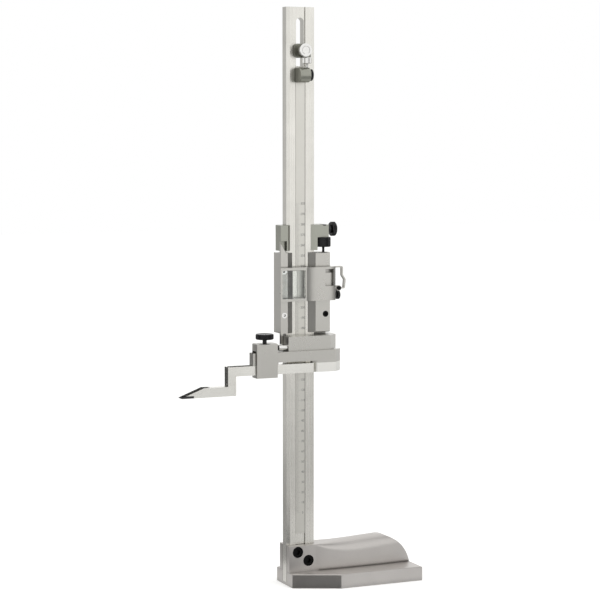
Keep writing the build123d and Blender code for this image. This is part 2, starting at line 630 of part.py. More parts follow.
# Slider: C-shaped body round the column with a bevelled window, and the block that carries the jaw
LIP_BACK = FRONT - SLIDE_GAP
CHANNEL_SIDE = HALF_WIDTH + SLIDE_GAP
CHANNEL_BACK = BACK + SLIDE_GAP
SIDE_SCREW_Z = BLOCK_BOTTOM + SIDE_SCREW_RISE
KEYWAY_BOTTOM = SLIDER_BOTTOM + KEYWAY_INSET
GIB_SEAT = CHANNEL_SIDE + GIB_THICKNESS + SEAT_GAP
with BuildPart() as slider:
    with BuildSketch(Plane.XY.offset(SLIDER_BOTTOM)) as slider_plan:
        with BuildLine():
            Polyline(
                (SLIDER_LEFT, LIP_BACK),
                (-CHANNEL_SIDE, LIP_BACK),
                (-CHANNEL_SIDE, CHANNEL_BACK),
                (GIB_SEAT, CHANNEL_BACK),
                (GIB_SEAT, LIP_BACK),
                (WINDOW_RIGHT, LIP_BACK),
                (WINDOW_RIGHT, LIP_BACK - LIP_EDGE),
                (BEVEL_OUTER, SLIDER_FRONT),
                (SLIDER_RIGHT, SLIDER_FRONT),
                (SLIDER_RIGHT, SLIDER_BACK),
                (SLIDER_LEFT, SLIDER_BACK),
                close=True,
            )
        make_face()
    extrude(amount=SLIDER_TOP - SLIDER_BOTTOM)
    outer_rear = slider.edges().filter_by(Axis.Z).group_by(Axis.Y)[-1]
    chamfer(outer_rear, length=1.2)
    chamfer(slider.faces().sort_by(Axis.Y)[0].edges().filter_by(Axis.X), length=EDGE_BREAK)
    with BuildSketch(Plane.XY.offset(BLOCK_BOTTOM)) as block_plan:
        with BuildLine():
            Polyline(
                (BLOCK_LEFT, LIP_BACK - FREE_GAP),
                (BLOCK_LEFT, BLOCK_FRONT),
                (BLOCK_BEVEL_START, BLOCK_FRONT),
                (BLOCK_BEVEL_START + BLOCK_BEVEL, BLOCK_FRONT + BLOCK_BEVEL),
                (BLOCK_BEVEL_START + BLOCK_BEVEL, BLOCK_REAR),
                (CHANNEL_SIDE + FREE_GAP, BLOCK_REAR),
                (CHANNEL_SIDE + FREE_GAP, LIP_BACK - FREE_GAP),
                close=True,
            )
        make_face()
    extrude(amount=BLOCK_CEILING - BLOCK_BOTTOM)
    with BuildSketch(Plane.XY.offset(BLOCK_CEILING)) as neck_plan:
        with Locations((GIB_SEAT, NECK_FRONT)):
            Rectangle(SLIDER_RIGHT - GIB_SEAT, BLOCK_REAR - NECK_FRONT, align=(Align.MIN, Align.MIN))
    extrude(amount=SLIDER_BOTTOM - BLOCK_CEILING)
    with Locations((FEED_X, FEED_Y, SLIDER_TOP)):
        Hole(FEED_ROD_RADIUS + SEAT_GAP, depth=FEED_ROD_SEAT)
    with Locations(side_plane(SLIDER_RIGHT, 0, SLIDER_SCREW_Z).location):
        Hole(SIDE_SHANK_RADIUS + RUNNING_GAP, depth=SLIDER_RIGHT - GIB_SEAT)
    for gib_z in GIB_SCREW_HEIGHTS:
        with Locations(side_plane(SLIDER_RIGHT, 0, gib_z).location):
            Hole(GIB_SCREW_RADIUS + RUNNING_GAP, depth=SLIDER_RIGHT - GIB_SEAT)
    for screw_z in SCREW_HEIGHTS:
        with Locations(front_plane(FRONT_SCREW_X, SLIDER_FRONT, screw_z).location):
            CounterBoreHole(
                FRONT_SHANK_RADIUS + SEAT_GAP,
                FRONT_HEAD_RADIUS + SEAT_GAP,
                FRONT_HEAD_HEIGHT,
                depth=FRONT_SCREW_LENGTH + SEAT_GAP,
            )
    for screw_z in SCREW_HEIGHTS:
        with Locations(front_plane(VERNIER_SCREW_X, LIP_BACK, screw_z).location):
            Hole(VERNIER_SHANK_RADIUS + SEAT_GAP, depth=VERNIER_SCREW_REACH + SEAT_GAP)
    for screw_x in JAW_SCREW_PLACES:
        with Locations(Plane(origin=(screw_x, JAW_SCREW_Y, BLOCK_BOTTOM), z_dir=(0, 0, -1)).location):
            Hole(JAW_SHANK_RADIUS + SEAT_GAP, depth=JAW_SCREW_REACH + SEAT_GAP)
    with Locations(Plane(origin=(BLOCK_LEFT, SIDE_SCREW_Y, SIDE_SCREW_Z), z_dir=(-1, 0, 0)).location):
        Hole(SIDE_SCREW_SHANK + SEAT_GAP, depth=SIDE_SCREW_REACH + SEAT_GAP)
    with BuildSketch(Plane.XY.offset(KEYWAY_BOTTOM)) as keyway:
        with BuildLine():
            Polyline(
                (SLIDER_RIGHT, KEY_Y - KEY_MOUTH / 2 - SLIDE_GAP),
                (SLIDER_RIGHT, KEY_Y + KEY_MOUTH / 2 + SLIDE_GAP),
                (SLIDER_RIGHT - KEY_DEPTH, KEY_Y + KEY_ROOT / 2 + SLIDE_GAP),
                (SLIDER_RIGHT - KEY_DEPTH, KEY_Y - KEY_ROOT / 2 - SLIDE_GAP),
                close=True,
            )
        make_face()
    extrude(amount=SLIDER_TOP - KEYWAY_BOTTOM, mode=Mode.SUBTRACT)
slider.part.label = "slider"
export_step(slider.part, "parts/slider.step")

# Vernier plate: bevelled plate that closes the slider's left front, with a pointed finger and a tongue
FINGER_TOP = SLIDER_TOP + FINGER_RISE
TONGUE_BOTTOM = SLIDER_BOTTOM - TONGUE_DROP
with BuildPart() as vernier_plate:
    with BuildSketch(Plane.XY.offset(SLIDER_BOTTOM)) as plate_plan:
        with BuildLine():
            Polyline(
                (SLIDER_LEFT, LIP_BACK),
                (SLIDER_LEFT, SLIDER_FRONT),
                (-BEVEL_OUTER, SLIDER_FRONT),
                (WINDOW_LEFT, LIP_BACK - LIP_EDGE),
                (WINDOW_LEFT, LIP_BACK),
                close=True,
            )
        make_face()
    extrude(amount=SLIDER_TOP - SLIDER_BOTTOM)
    with BuildSketch(Plane.XZ.offset(-LIP_BACK)) as finger:
        with BuildLine():
            Polyline(
                (SLIDER_LEFT, TONGUE_BOTTOM),
                (SLIDER_LEFT, FINGER_TOP),
                (SLIDER_LEFT + FINGER_WIDTH, SLIDER_TOP - 1),
                (SLIDER_LEFT + TONGUE_WIDTH, SLIDER_BOTTOM + 1),
                (SLIDER_LEFT + TONGUE_WIDTH, TONGUE_BOTTOM),
                close=True,
            )
        make_face()
    extrude(amount=LIP_BACK - SLIDER_FRONT)
    for screw_z in SCREW_HEIGHTS:
        with Locations(front_plane(VERNIER_SCREW_X, SLIDER_FRONT, screw_z).location):
            CounterSinkHole(
                VERNIER_SHANK_RADIUS + SEAT_GAP,
                VERNIER_HEAD_RADIUS + SEAT_GAP,
                depth=LIP_BACK - SLIDER_FRONT,
                counter_sink_angle=90,
            )
vernier_plate.part.label = "vernier_plate"
export_step(vernier_plate.part, "parts/vernier_plate.step")

# Vernier screws: countersunk screws with a hexagon socket
with BuildPart() as vernier_screws:
    for screw_z in SCREW_HEIGHTS:
        with Locations(front_plane(VERNIER_SCREW_X, SLIDER_FRONT, screw_z).location):
            head_drop = VERNIER_HEAD_RADIUS - VERNIER_SHANK_RADIUS
            Cone(VERNIER_SHANK_RADIUS, VERNIER_HEAD_RADIUS, head_drop, align=TOP)
            Cylinder(
                VERNIER_SHANK_RADIUS,
                LIP_BACK - SLIDER_FRONT + VERNIER_SCREW_REACH,
                align=TOP,
            )
        with BuildSketch(front_plane(VERNIER_SCREW_X, SLIDER_FRONT, screw_z)):
            RegularPolygon(VERNIER_SOCKET / 2, 6, major_radius=False)
        extrude(amount=-head_drop, mode=Mode.SUBTRACT)
vernier_screws.part.label = "vernier_screws"
export_step(vernier_screws.part, "parts/vernier_screws.step")

# Slider gib: strip between the column's right side and the slider, set by two grub screws
with BuildPart() as slider_gib:
    with Locations((CHANNEL_SIDE, 0, (SLIDER_BOTTOM + SLIDER_TOP) / 2)):
        Box(
            GIB_THICKNESS,
            COLUMN_DEPTH - 2 * SLIDE_GAP,
            SLIDER_HEIGHT - 2 * GIB_INSET,
            align=(Align.MIN, Align.CENTER, Align.CENTER),
        )
    chamfer(slider_gib.edges().filter_by(Axis.Y), length=EDGE_BREAK)
slider_gib.part.label = "slider_gib"
export_step(slider_gib.part, "parts/slider_gib.step")

with BuildPart() as gib_screws:
    for gib_z in GIB_SCREW_HEIGHTS:
        screw_end = side_plane(SLIDER_RIGHT - EDGE_BREAK, 0, gib_z)
        with Locations(screw_end.location):
            Cylinder(GIB_SCREW_RADIUS, SLIDER_RIGHT - EDGE_BREAK - GIB_SEAT, align=TOP)
        with BuildSketch(screw_end):
            RegularPolygon(GIB_SCREW_RADIUS / 2, 6, major_radius=False)
        extrude(amount=-GIB_SCREW_RADIUS, mode=Mode.SUBTRACT)
gib_screws.part.label = "gib_screws"
export_step(gib_screws.part, "parts/gib_screws.step")

# Front screws: black socket-head screws sunk in the slider's right front
with BuildPart() as front_screws:
    for screw_z in SCREW_HEIGHTS:
        head_seat = front_plane(FRONT_SCREW_X, SLIDER_FRONT + FRONT_HEAD_HEIGHT, screw_z)
        with Locations(head_seat.location):
            Cylinder(FRONT_HEAD_RADIUS, FRONT_HEAD_HEIGHT - SEAT_GAP, align=BOTTOM)
            Cylinder(FRONT_SHANK_RADIUS, FRONT_SCREW_LENGTH - FRONT_HEAD_HEIGHT, align=TOP)
        with BuildSketch(head_seat.offset(FRONT_HEAD_HEIGHT)):
            RegularPolygon(FRONT_HEAD_RADIUS / 2, 6, major_radius=False)
        extrude(amount=-FRONT_HEAD_HEIGHT / 2, mode=Mode.SUBTRACT)
front_screws.part.label = "front_screws"
export_step(front_screws.part, "parts/front_screws.step")

# Slider clamp screw: black thumb screw at mid height on the right, which presses on the gib
with BuildPart() as slider_clamp_screw:
    add(thumb_screw(
        side_plane(SLIDER_RIGHT + SLIDE_GAP, 0, SLIDER_SCREW_Z),
        SLIDER_KNOB_RADIUS,
        SLIDER_KNOB_LENGTH,
        SIDE_SHANK_RADIUS + 1,
        SLIDER_KNOB_NECK,
        SIDE_SHANK_RADIUS,
        SLIDER_RIGHT + SLIDE_GAP - GIB_SEAT,
    ))
slider_clamp_screw.part.label = "slider_clamp_screw"
export_step(slider_clamp_screw.part, "parts/slider_clamp_screw.step")

# Feed screw: black rod fixed in the slider's top
ROD_BOTTOM = SLIDER_TOP - FEED_ROD_SEAT + SEAT_GAP
with BuildPart() as feed_screw:
    with Locations((FEED_X, FEED_Y, ROD_BOTTOM)):
        Cylinder(FEED_ROD_RADIUS, CARRIAGE_TOP - FEED_ROD_DROP - ROD_BOTTOM, align=BOTTOM)
    chamfer(feed_screw.edges().sort_by(Axis.Z)[-1], length=RIM_BREAK)
feed_screw.part.label = "feed_screw"
export_step(feed_screw.part, "parts/feed_screw.step")

# Carriage: C-shaped body round the column, with a lug on the right over the feed nut
with BuildPart() as carriage:
    with BuildSketch(Plane.XY.offset(CARRIAGE_BOTTOM)) as carriage_plan:
        with BuildLine():
            Polyline(
                (SLIDER_LEFT, SLIDER_FRONT),
                (-LIP_OUTER, SLIDER_FRONT),
                (-LIP_INNER, LIP_BACK),
                (-CHANNEL_SIDE, LIP_BACK),
                (-CHANNEL_SIDE, CHANNEL_BACK),
                (CHANNEL_SIDE, CHANNEL_BACK),
                (CHANNEL_SIDE, LIP_BACK),
                (LIP_INNER, LIP_BACK),
                (LIP_OUTER, SLIDER_FRONT),
                (CARRIAGE_RIGHT, SLIDER_FRONT),
                (CARRIAGE_RIGHT, CARRIAGE_BACK),
                (SLIDER_LEFT + REAR_BEVEL, CARRIAGE_BACK),
                (SLIDER_LEFT, CARRIAGE_BACK - REAR_BEVEL),
                close=True,
            )
        make_face()
    extrude(amount=CARRIAGE_TOP - CARRIAGE_BOTTOM)
    chamfer(carriage.faces().sort_by(Axis.Z)[-1].edges().sort_by(Axis.X)[-1], length=EDGE_BREAK)
    with Locations((FEED_X - FEED_NUT_RADIUS - FREE_GAP, SLIDER_FRONT, CARRIAGE_BOTTOM)):
        Box(
            2 * CARRIAGE_RIGHT,
            CARRIAGE_BACK - SLIDER_FRONT,
            LUG_BOTTOM - CARRIAGE_BOTTOM,
            align=(Align.MIN, Align.MIN, Align.MIN),
            mode=Mode.SUBTRACT,
        )
    with Locations((SLIDER_LEFT, SLIDER_FRONT, CARRIAGE_BOTTOM)):
        Box(
            FINGER_WIDTH + FREE_GAP,
            LIP_BACK - SLIDER_FRONT,
            FINGER_TOP + FEED_UP + 2 * FREE_GAP - CARRIAGE_BOTTOM,
            align=(Align.MIN, Align.MIN, Align.MIN),
            mode=Mode.SUBTRACT,
        )
    with Locations((FEED_X, FEED_Y, CARRIAGE_TOP)):
        CounterBoreHole(
            FEED_SLEEVE_RADIUS + RUNNING_GAP,
            FEED_SLEEVE_RADIUS + RING_STEP + SLIDE_GAP,
            RING_RECESS,
            depth=CARRIAGE_TOP - LUG_BOTTOM,
        )
    with Locations(side_plane(CARRIAGE_RIGHT, 0, CARRIAGE_SCREW_Z).location):
        Hole(SIDE_SHANK_RADIUS + RUNNING_GAP, depth=CARRIAGE_RIGHT - CHANNEL_SIDE)
    with Locations(side_plane(CHANNEL_SIDE, 0, CARRIAGE_SCREW_Z).location):
        Cylinder(SHOE_RADIUS + SEAT_GAP, 2 * SHOE_LENGTH, mode=Mode.SUBTRACT)
carriage.part.label = "carriage"
export_step(carriage.part, "parts/carriage.step")

# Carriage shoe: brass disc between the clamp screw and the column
with BuildPart() as carriage_shoe:
    with Locations(side_plane(CHANNEL_SIDE, 0, CARRIAGE_SCREW_Z).location):
        Cylinder(SHOE_RADIUS, SHOE_LENGTH - 2 * SEAT_GAP, align=BOTTOM)
carriage_shoe.part.label = "carriage_shoe"
export_step(carriage_shoe.part, "parts/carriage_shoe.step")

# Carriage clamp screw: black thumb screw on the right of the lug
with BuildPart() as carriage_clamp_screw:
    add(thumb_screw(
        side_plane(CARRIAGE_RIGHT + SLIDE_GAP, 0, CARRIAGE_SCREW_Z),
        KNOB_RADIUS,
        KNOB_LENGTH,
        COLLAR_RADIUS,
        KNOB_NECK,
        SIDE_SHANK_RADIUS,
        CARRIAGE_RIGHT + SLIDE_GAP - CHANNEL_SIDE - SHOE_LENGTH,
    ))
carriage_clamp_screw.part.label = "carriage_clamp_screw"
export_step(carriage_clamp_screw.part, "parts/carriage_clamp_screw.step")

# Feed nut and its ring: the nut turns in the carriage's lug and moves the slider by the rod
with BuildPart() as feed_nut:
    add(sleeve_nut(
        Plane(origin=(FEED_X, FEED_Y, LUG_BOTTOM - SEAT_GAP)),
        FEED_NUT_RADIUS,
        FEED_NUT_HEIGHT,
        FEED_SLEEVE_RADIUS,
        CARRIAGE_TOP - RING_RECESS + RING_THICKNESS + 2 * SEAT_GAP - LUG_BOTTOM,
        FEED_ROD_RADIUS + RUNNING_GAP,
    ))
feed_nut.part.label = "feed_nut"
export_step(feed_nut.part, "parts/feed_nut.step")

with BuildPart() as feed_nut_ring:
    add(retaining_ring(
        Plane(origin=(FEED_X, FEED_Y, CARRIAGE_TOP - RING_RECESS + SEAT_GAP)),
        FEED_SLEEVE_RADIUS + RING_STEP,
        FEED_SLEEVE_RADIUS,
    ))
feed_nut_ring.part.label = "feed_nut_ring"
export_step(feed_nut_ring.part, "parts/feed_nut_ring.step")

# Magnifier frame: front plate with a lens window and a gently curved right half, and a side flange with a key
POCKET_TOP = FRAME_TOP - POCKET_INSET
with BuildPart() as magnifier_frame:
    with BuildSketch(Plane.XY.offset(FRAME_BOTTOM)) as frame_plan:
        with BuildLine():
            window_end = LENS_RIGHT + FRAME_RIM / 2
            flange_inner = FRAME_RIGHT - FLANGE_THICKNESS
            Polyline(
                (window_end, FRAME_FRONT),
                (FRAME_LEFT, FRAME_FRONT),
                (FRAME_LEFT, FRAME_REAR),
                (flange_inner, FRAME_REAR),
                (flange_inner, FLANGE_REAR),
                (FRAME_RIGHT, FLANGE_REAR),
                (FRAME_RIGHT, FRAME_FRONT),
            )
            ThreePointArc(
                (window_end, FRAME_FRONT),
                ((window_end + FRAME_RIGHT) / 2, FRAME_FRONT - FRAME_BULGE),
                (FRAME_RIGHT, FRAME_FRONT),
            )
        make_face()
    extrude(amount=FRAME_TOP - FRAME_BOTTOM)
    with Locations((LENS_LEFT, 0, FRAME_BOTTOM + FRAME_RIM)):
        Box(
            LENS_RIGHT - LENS_LEFT,
            4 * abs(FRAME_FRONT),
            FRAME_TOP - FRAME_BOTTOM - 2 * FRAME_RIM,
            align=(Align.MIN, Align.CENTER, Align.MIN),
            mode=Mode.SUBTRACT,
        )
    with Locations((POCKET_LEFT, FRAME_FRONT - FRAME_BULGE, POCKET_TOP)):
        for height, depth in ((POCKET_HEIGHT, POCKET_DEPTH), (POCKET_SLOT_HEIGHT, POCKET_SLOT_DEPTH)):
            Box(
                POCKET_RIGHT - POCKET_LEFT,
                FRAME_BULGE + depth,
                height,
                align=(Align.MIN, Align.MIN, Align.MAX),
                mode=Mode.SUBTRACT,
            )
    with BuildSketch(Plane.XY.offset(FRAME_BOTTOM + FRAME_RIM)) as key_plan:
        with BuildLine():
            Polyline(
                (flange_inner, KEY_Y - KEY_MOUTH / 2),
                (flange_inner, KEY_Y + KEY_MOUTH / 2),
                (SLIDER_RIGHT, KEY_Y + KEY_MOUTH / 2),
                (SLIDER_RIGHT - KEY_DEPTH + SLIDE_GAP, KEY_Y + KEY_ROOT / 2),
                (SLIDER_RIGHT - KEY_DEPTH + SLIDE_GAP, KEY_Y - KEY_ROOT / 2),
                (SLIDER_RIGHT, KEY_Y - KEY_MOUTH / 2),
                close=True,
            )
        make_face()
    extrude(amount=FRAME_TOP - FRAME_BOTTOM - 2 * FRAME_RIM)
magnifier_frame.part.label = "magnifier_frame"
export_step(magnifier_frame.part, "parts/magnifier_frame.step")

# Magnifier lens: a clear bar, flat behind and curved in front
with BuildPart() as magnifier_lens:
    with BuildSketch(Plane.XY.offset(FRAME_BOTTOM + FRAME_RIM + SEAT_GAP)) as lens_plan:
        with BuildLine():
            lens_low = LENS_LEFT + SEAT_GAP
            lens_high = LENS_RIGHT - SEAT_GAP
            Polyline(
                (lens_low, FRAME_FRONT + 1),
                (lens_low, FRAME_REAR - 1),
                (lens_high, FRAME_REAR - 1),
                (lens_high, FRAME_FRONT + 1),
            )
            ThreePointArc(
                (lens_low, FRAME_FRONT + 1),
                ((lens_low + lens_high) / 2, FRAME_FRONT + 1 - LENS_BULGE),
                (lens_high, FRAME_FRONT + 1),
            )
        make_face()
    extrude(amount=FRAME_TOP - FRAME_BOTTOM - 2 * (FRAME_RIM + SEAT_GAP))
magnifier_lens.part.label = "magnifier_lens"
export_step(magnifier_lens.part, "parts/magnifier_lens.step")

# Magnifier loop: thin strip that leaves the flange's top, kinks outwards and comes back to an eye with a pin
LOOP_TOP = FRAME_TOP - LOOP_THICKNESS / 2
LOOP_FOOT = FRAME_BOTTOM + LOOP_RISE
EYE_X = (FRAME_RIGHT + LOOP_REACH) / 2 + 1
with BuildPart() as magnifier_loop:
    with BuildSketch(Plane.XZ.offset(-LOOP_Y - LOOP_WIDTH / 2)) as loop_side:
        with BuildLine():
            FilletPolyline(
                (FRAME_RIGHT, LOOP_TOP),
                (LOOP_REACH, LOOP_TOP),
                (LOOP_REACH, LOOP_TOP - LOOP_STRAIGHT),
                (LOOP_REACH + LOOP_KINK, LOOP_TOP - LOOP_STRAIGHT - 1.5 * LOOP_KINK),
                (LOOP_REACH + LOOP_KINK - 0.8, LOOP_FOOT),
                (FRAME_RIGHT, LOOP_FOOT),
                radius=1.0,
            )
        trace(line_width=LOOP_THICKNESS)
    extrude(amount=LOOP_WIDTH)
    with Locations(front_plane(EYE_X, LOOP_Y, LOOP_FOOT).location):
        Cylinder(PIN_RADIUS + LOOP_THICKNESS / 2, LOOP_WIDTH)
        Cylinder(PIN_RADIUS - 0.5 + SEAT_GAP, 2 * LOOP_WIDTH, mode=Mode.SUBTRACT)
magnifier_loop.part.label = "magnifier_loop"
export_step(magnifier_loop.part, "parts/magnifier_loop.step")

with BuildPart() as magnifier_pin:
    with Locations(front_plane(EYE_X, LOOP_Y, LOOP_FOOT).location):
        Cylinder(PIN_RADIUS - 0.5, LOOP_WIDTH + 2 * SEAT_GAP)
    with Locations(front_plane(EYE_X, LOOP_Y - LOOP_WIDTH / 2 - SEAT_GAP, LOOP_FOOT).location):
        Cylinder(PIN_RADIUS, LOOP_THICKNESS, align=BOTTOM)
magnifier_pin.part.label = "magnifier_pin"
export_step(magnifier_pin.part, "parts/magnifier_pin.step")

# Jaw: bar across the front of the column, relieved above the scriber and with a shoulder at its right end
BAR_BACK = JAW_FRONT + BAR_DEPTH
JAW_RIGHT = JAW_BEVEL_START + JAW_BEVEL
SHANK_BOTTOM = SHANK_TOP - SHANK_HEIGHT
with BuildPart() as jaw:
    with BuildSketch(Plane.XZ.offset(-BAR_BACK)) as jaw_face:
        with BuildLine():
            Polyline(
                (JAW_LEFT, BLOCK_BOTTOM),
                (JAW_RIGHT, BLOCK_BOTTOM),
                (JAW_RIGHT, SHANK_BOTTOM),
                (SHOULDER_LEFT, SHANK_BOTTOM),
                (SHOULDER_LEFT, RELIEF_TOP),
                (RELIEF_LEFT, RELIEF_TOP),
                (RELIEF_LEFT, SHANK_TOP + SEAT_GAP),
                (JAW_LEFT, SHANK_TOP + SEAT_GAP),
                close=True,
            )
        make_face()
    extrude(amount=BAR_DEPTH)
    front_right = jaw.edges().filter_by(Axis.Z).filter_by_position(Axis.X, JAW_RIGHT - 0.1, JAW_RIGHT + 0.1)
    chamfer(front_right.sort_by(Axis.Y)[0], length=JAW_BEVEL)
    shoulder_edges = jaw.edges().filter_by(Axis.Z).filter_by_position(
        Axis.X, SHOULDER_LEFT - 0.1, SHOULDER_LEFT + 0.1
    )
    chamfer(shoulder_edges.sort_by(Axis.Y)[0], length=SHOULDER_BEVEL)
    for screw_x in JAW_SCREW_PLACES:
        underside = RELIEF_TOP if screw_x < SHOULDER_LEFT else SHANK_BOTTOM
        with Locations(Plane(origin=(screw_x, JAW_SCREW_Y, underside), z_dir=(0, 0, -1)).location):
            CounterBoreHole(
                JAW_SHANK_RADIUS + SEAT_GAP,
                JAW_HEAD_RADIUS + SEAT_GAP,
                RELIEF_TOP - underside + JAW_HEAD_HEIGHT,
                depth=BLOCK_BOTTOM - underside,
            )
jaw.part.label = "jaw"
export_step(jaw.part, "parts/jaw.step")

# Jaw screws: cap screws from below, through the jaw into the slider's block
with BuildPart() as jaw_screws:
    for screw_x in JAW_SCREW_PLACES:
        seat_plane = Plane(origin=(screw_x, JAW_SCREW_Y, RELIEF_TOP + JAW_HEAD_HEIGHT), z_dir=(0, 0, -1))
        with Locations(seat_plane.location):
            Cylinder(JAW_HEAD_RADIUS, JAW_HEAD_HEIGHT - SEAT_GAP, align=BOTTOM)
            Cylinder(
                JAW_SHANK_RADIUS,
                BLOCK_BOTTOM - RELIEF_TOP - JAW_HEAD_HEIGHT + JAW_SCREW_REACH,
                align=TOP,
            )
        with BuildSketch(seat_plane.offset(JAW_HEAD_HEIGHT - SEAT_GAP)):
            RegularPolygon(JAW_HEAD_RADIUS / 2, 6, major_radius=False)
        extrude(amount=-JAW_HEAD_HEIGHT / 2, mode=Mode.SUBTRACT)
jaw_screws.part.label = "jaw_screws"
export_step(jaw_screws.part, "parts/jaw_screws.step")

# Side screw: small bright screw that stands out of the block's left end
with BuildPart() as jaw_side_screw:
    with Locations(Plane(origin=(BLOCK_LEFT, SIDE_SCREW_Y, SIDE_SCREW_Z), z_dir=(-1, 0, 0)).location):
        Cylinder(SIDE_SCREW_SHANK, SIDE_SCREW_REACH, align=TOP)
        Cylinder(SIDE_SCREW_RADIUS - 0.4, SIDE_SCREW_LENGTH, align=BOTTOM)
        with Locations((0, 0, SIDE_SCREW_LENGTH / 2)):
            Cylinder(SIDE_SCREW_RADIUS, SIDE_SCREW_LENGTH / 2, align=BOTTOM)
    chamfer(jaw_side_screw.edges().sort_by(Axis.X)[0], length=0.5)
jaw_side_screw.part.label = "jaw_side_screw"
export_step(jaw_side_screw.part, "parts/jaw_side_screw.step")

# Scriber: square offset bar with a bevelled point, and the carbide insert under the point
with BuildSketch(Plane.XZ.offset(-BAR_BACK)) as scriber_face:
    with BuildLine():
        arm_top = SHANK_TOP - SCRIBER_DROP
        arm_bottom = arm_top - SHANK_HEIGHT
        Polyline(
            (SHOULDER_LEFT - SCRIBER_END_GAP, SHANK_TOP),
            (SCRIBER_LEG_LEFT, SHANK_TOP),
            (SCRIBER_LEG_LEFT, arm_top),
            (SCRIBER_BEVEL_X, arm_top),
            (SCRIBER_TIP_X, arm_bottom + TIP_EDGE),
            (SCRIBER_TIP_X, arm_bottom),
            (SCRIBER_LEG_LEFT + SCRIBER_LEG_WIDTH, arm_bottom),
            (SCRIBER_LEG_LEFT + SCRIBER_LEG_WIDTH, SHANK_BOTTOM),
            (SHOULDER_LEFT - SCRIBER_END_GAP, SHANK_BOTTOM),
            close=True,
        )
    make_face()

with BuildPart() as scriber:
    extrude(scriber_face.sketch, amount=BAR_DEPTH)
    with Locations((SCRIBER_TIP_X, BAR_BACK, arm_bottom)):
        Box(TIP_LENGTH, 2 * BAR_DEPTH, 2 * TIP_THICKNESS, align=(Align.MIN, Align.CENTER, Align.CENTER),
            mode=Mode.SUBTRACT)
scriber.part.label = "scriber"
export_step(scriber.part, "parts/scriber.step")

with BuildPart() as scriber_tip:
    extrude(scriber_face.sketch, amount=BAR_DEPTH)
    with Locations((SCRIBER_TIP_X, BAR_BACK, arm_bottom)):
        Box(TIP_LENGTH, 2 * BAR_DEPTH, 2 * TIP_THICKNESS, align=(Align.MIN, Align.CENTER, Align.CENTER),
            mode=Mode.INTERSECT)
scriber_tip.part.label = "scriber_tip"
export_step(scriber_tip.part, "parts/scriber_tip.step")

# Scriber clamp: closed box round the jaw and the scriber, with its thumb screw and pad
CLAMP_MIDDLE = (CLAMP_LEFT + CLAMP_RIGHT) / 2
BAR_MIDDLE = JAW_FRONT + BAR_DEPTH / 2
WINDOW_TOP = BLOCK_BOTTOM + 2 * SEAT_GAP + PAD_THICKNESS
CLAMP_TOP = WINDOW_TOP + CLAMP_CROWN
with BuildPart() as scriber_clamp:
    with BuildSketch(Plane.XY.offset(SHANK_BOTTOM - CLAMP_FLOOR)) as clamp_plan:
        with Locations((CLAMP_MIDDLE, BAR_MIDDLE)):
            Rectangle(CLAMP_RIGHT - CLAMP_LEFT, BAR_DEPTH + 2 * CLAMP_WALL)
        chamfer(clamp_plan.vertices().group_by(Axis.Y)[-1], CLAMP_WALL - EDGE_BREAK)
    extrude(amount=CLAMP_TOP - SHANK_BOTTOM + CLAMP_FLOOR)
    chamfer(scriber_clamp.faces().sort_by(Axis.Z)[-1].edges(), length=EDGE_BREAK)
    with BuildSketch(Plane.YZ.offset(CLAMP_LEFT)) as clamp_window:
        with Locations((BAR_MIDDLE, SHANK_BOTTOM - SLIDE_GAP)):
            Rectangle(
                BAR_DEPTH + 2 * SLIDE_GAP,
                WINDOW_TOP - SHANK_BOTTOM + SLIDE_GAP,
                align=(Align.CENTER, Align.MIN),
            )
    extrude(amount=CLAMP_RIGHT - CLAMP_LEFT, mode=Mode.SUBTRACT)
    with Locations((CLAMP_MIDDLE, BAR_MIDDLE, CLAMP_TOP)):
        Hole(CLAMP_STEM_RADIUS + RUNNING_GAP, depth=CLAMP_TOP - WINDOW_TOP)
scriber_clamp.part.label = "scriber_clamp"
export_step(scriber_clamp.part, "parts/scriber_clamp.step")

with BuildPart() as scriber_clamp_pad:
    with Locations((CLAMP_MIDDLE, BAR_MIDDLE, BLOCK_BOTTOM + SEAT_GAP)):
        Cylinder(BAR_DEPTH / 2 - 1, PAD_THICKNESS, align=BOTTOM)
scriber_clamp_pad.part.label = "scriber_clamp_pad"
export_step(scriber_clamp_pad.part, "parts/scriber_clamp_pad.step")

with BuildPart() as scriber_clamp_screw:
    add(thumb_screw(
        Plane(origin=(CLAMP_MIDDLE, BAR_MIDDLE, CLAMP_TOP)),
        CLAMP_HEAD_RADIUS,
        CLAMP_HEAD_HEIGHT,
        CLAMP_STEM_RADIUS,
        CLAMP_STEM_LENGTH,
        CLAMP_STEM_RADIUS,
        CLAMP_CROWN,
    ))
scriber_clamp_screw.part.label = "scriber_clamp_screw"
export_step(scriber_clamp_screw.part, "parts/scriber_clamp_screw.step")
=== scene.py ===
import math

import bmesh
import bpy
from bpy.props import FloatProperty, FloatVectorProperty, IntProperty, PointerProperty
from mathutils import Matrix, Vector


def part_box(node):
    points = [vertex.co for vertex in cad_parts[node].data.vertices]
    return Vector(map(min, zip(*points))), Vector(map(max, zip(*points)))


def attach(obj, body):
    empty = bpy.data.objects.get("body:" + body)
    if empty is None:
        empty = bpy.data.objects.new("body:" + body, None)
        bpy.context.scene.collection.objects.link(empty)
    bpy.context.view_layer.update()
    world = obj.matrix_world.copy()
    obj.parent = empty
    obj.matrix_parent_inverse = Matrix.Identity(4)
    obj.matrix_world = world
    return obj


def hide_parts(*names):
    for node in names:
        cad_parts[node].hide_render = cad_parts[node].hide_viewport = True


bl_info = {
    "name": "Vernier height gauge finishes",
    "version": (1, 0, 0),
    "blender": (4, 5, 0),
    "location": "3D View > Sidebar > Height gauge",
    "description": "Dresses the height gauge: metals, knurled screws, threads, lens, marks and a studio",
    "category": "Object",
}

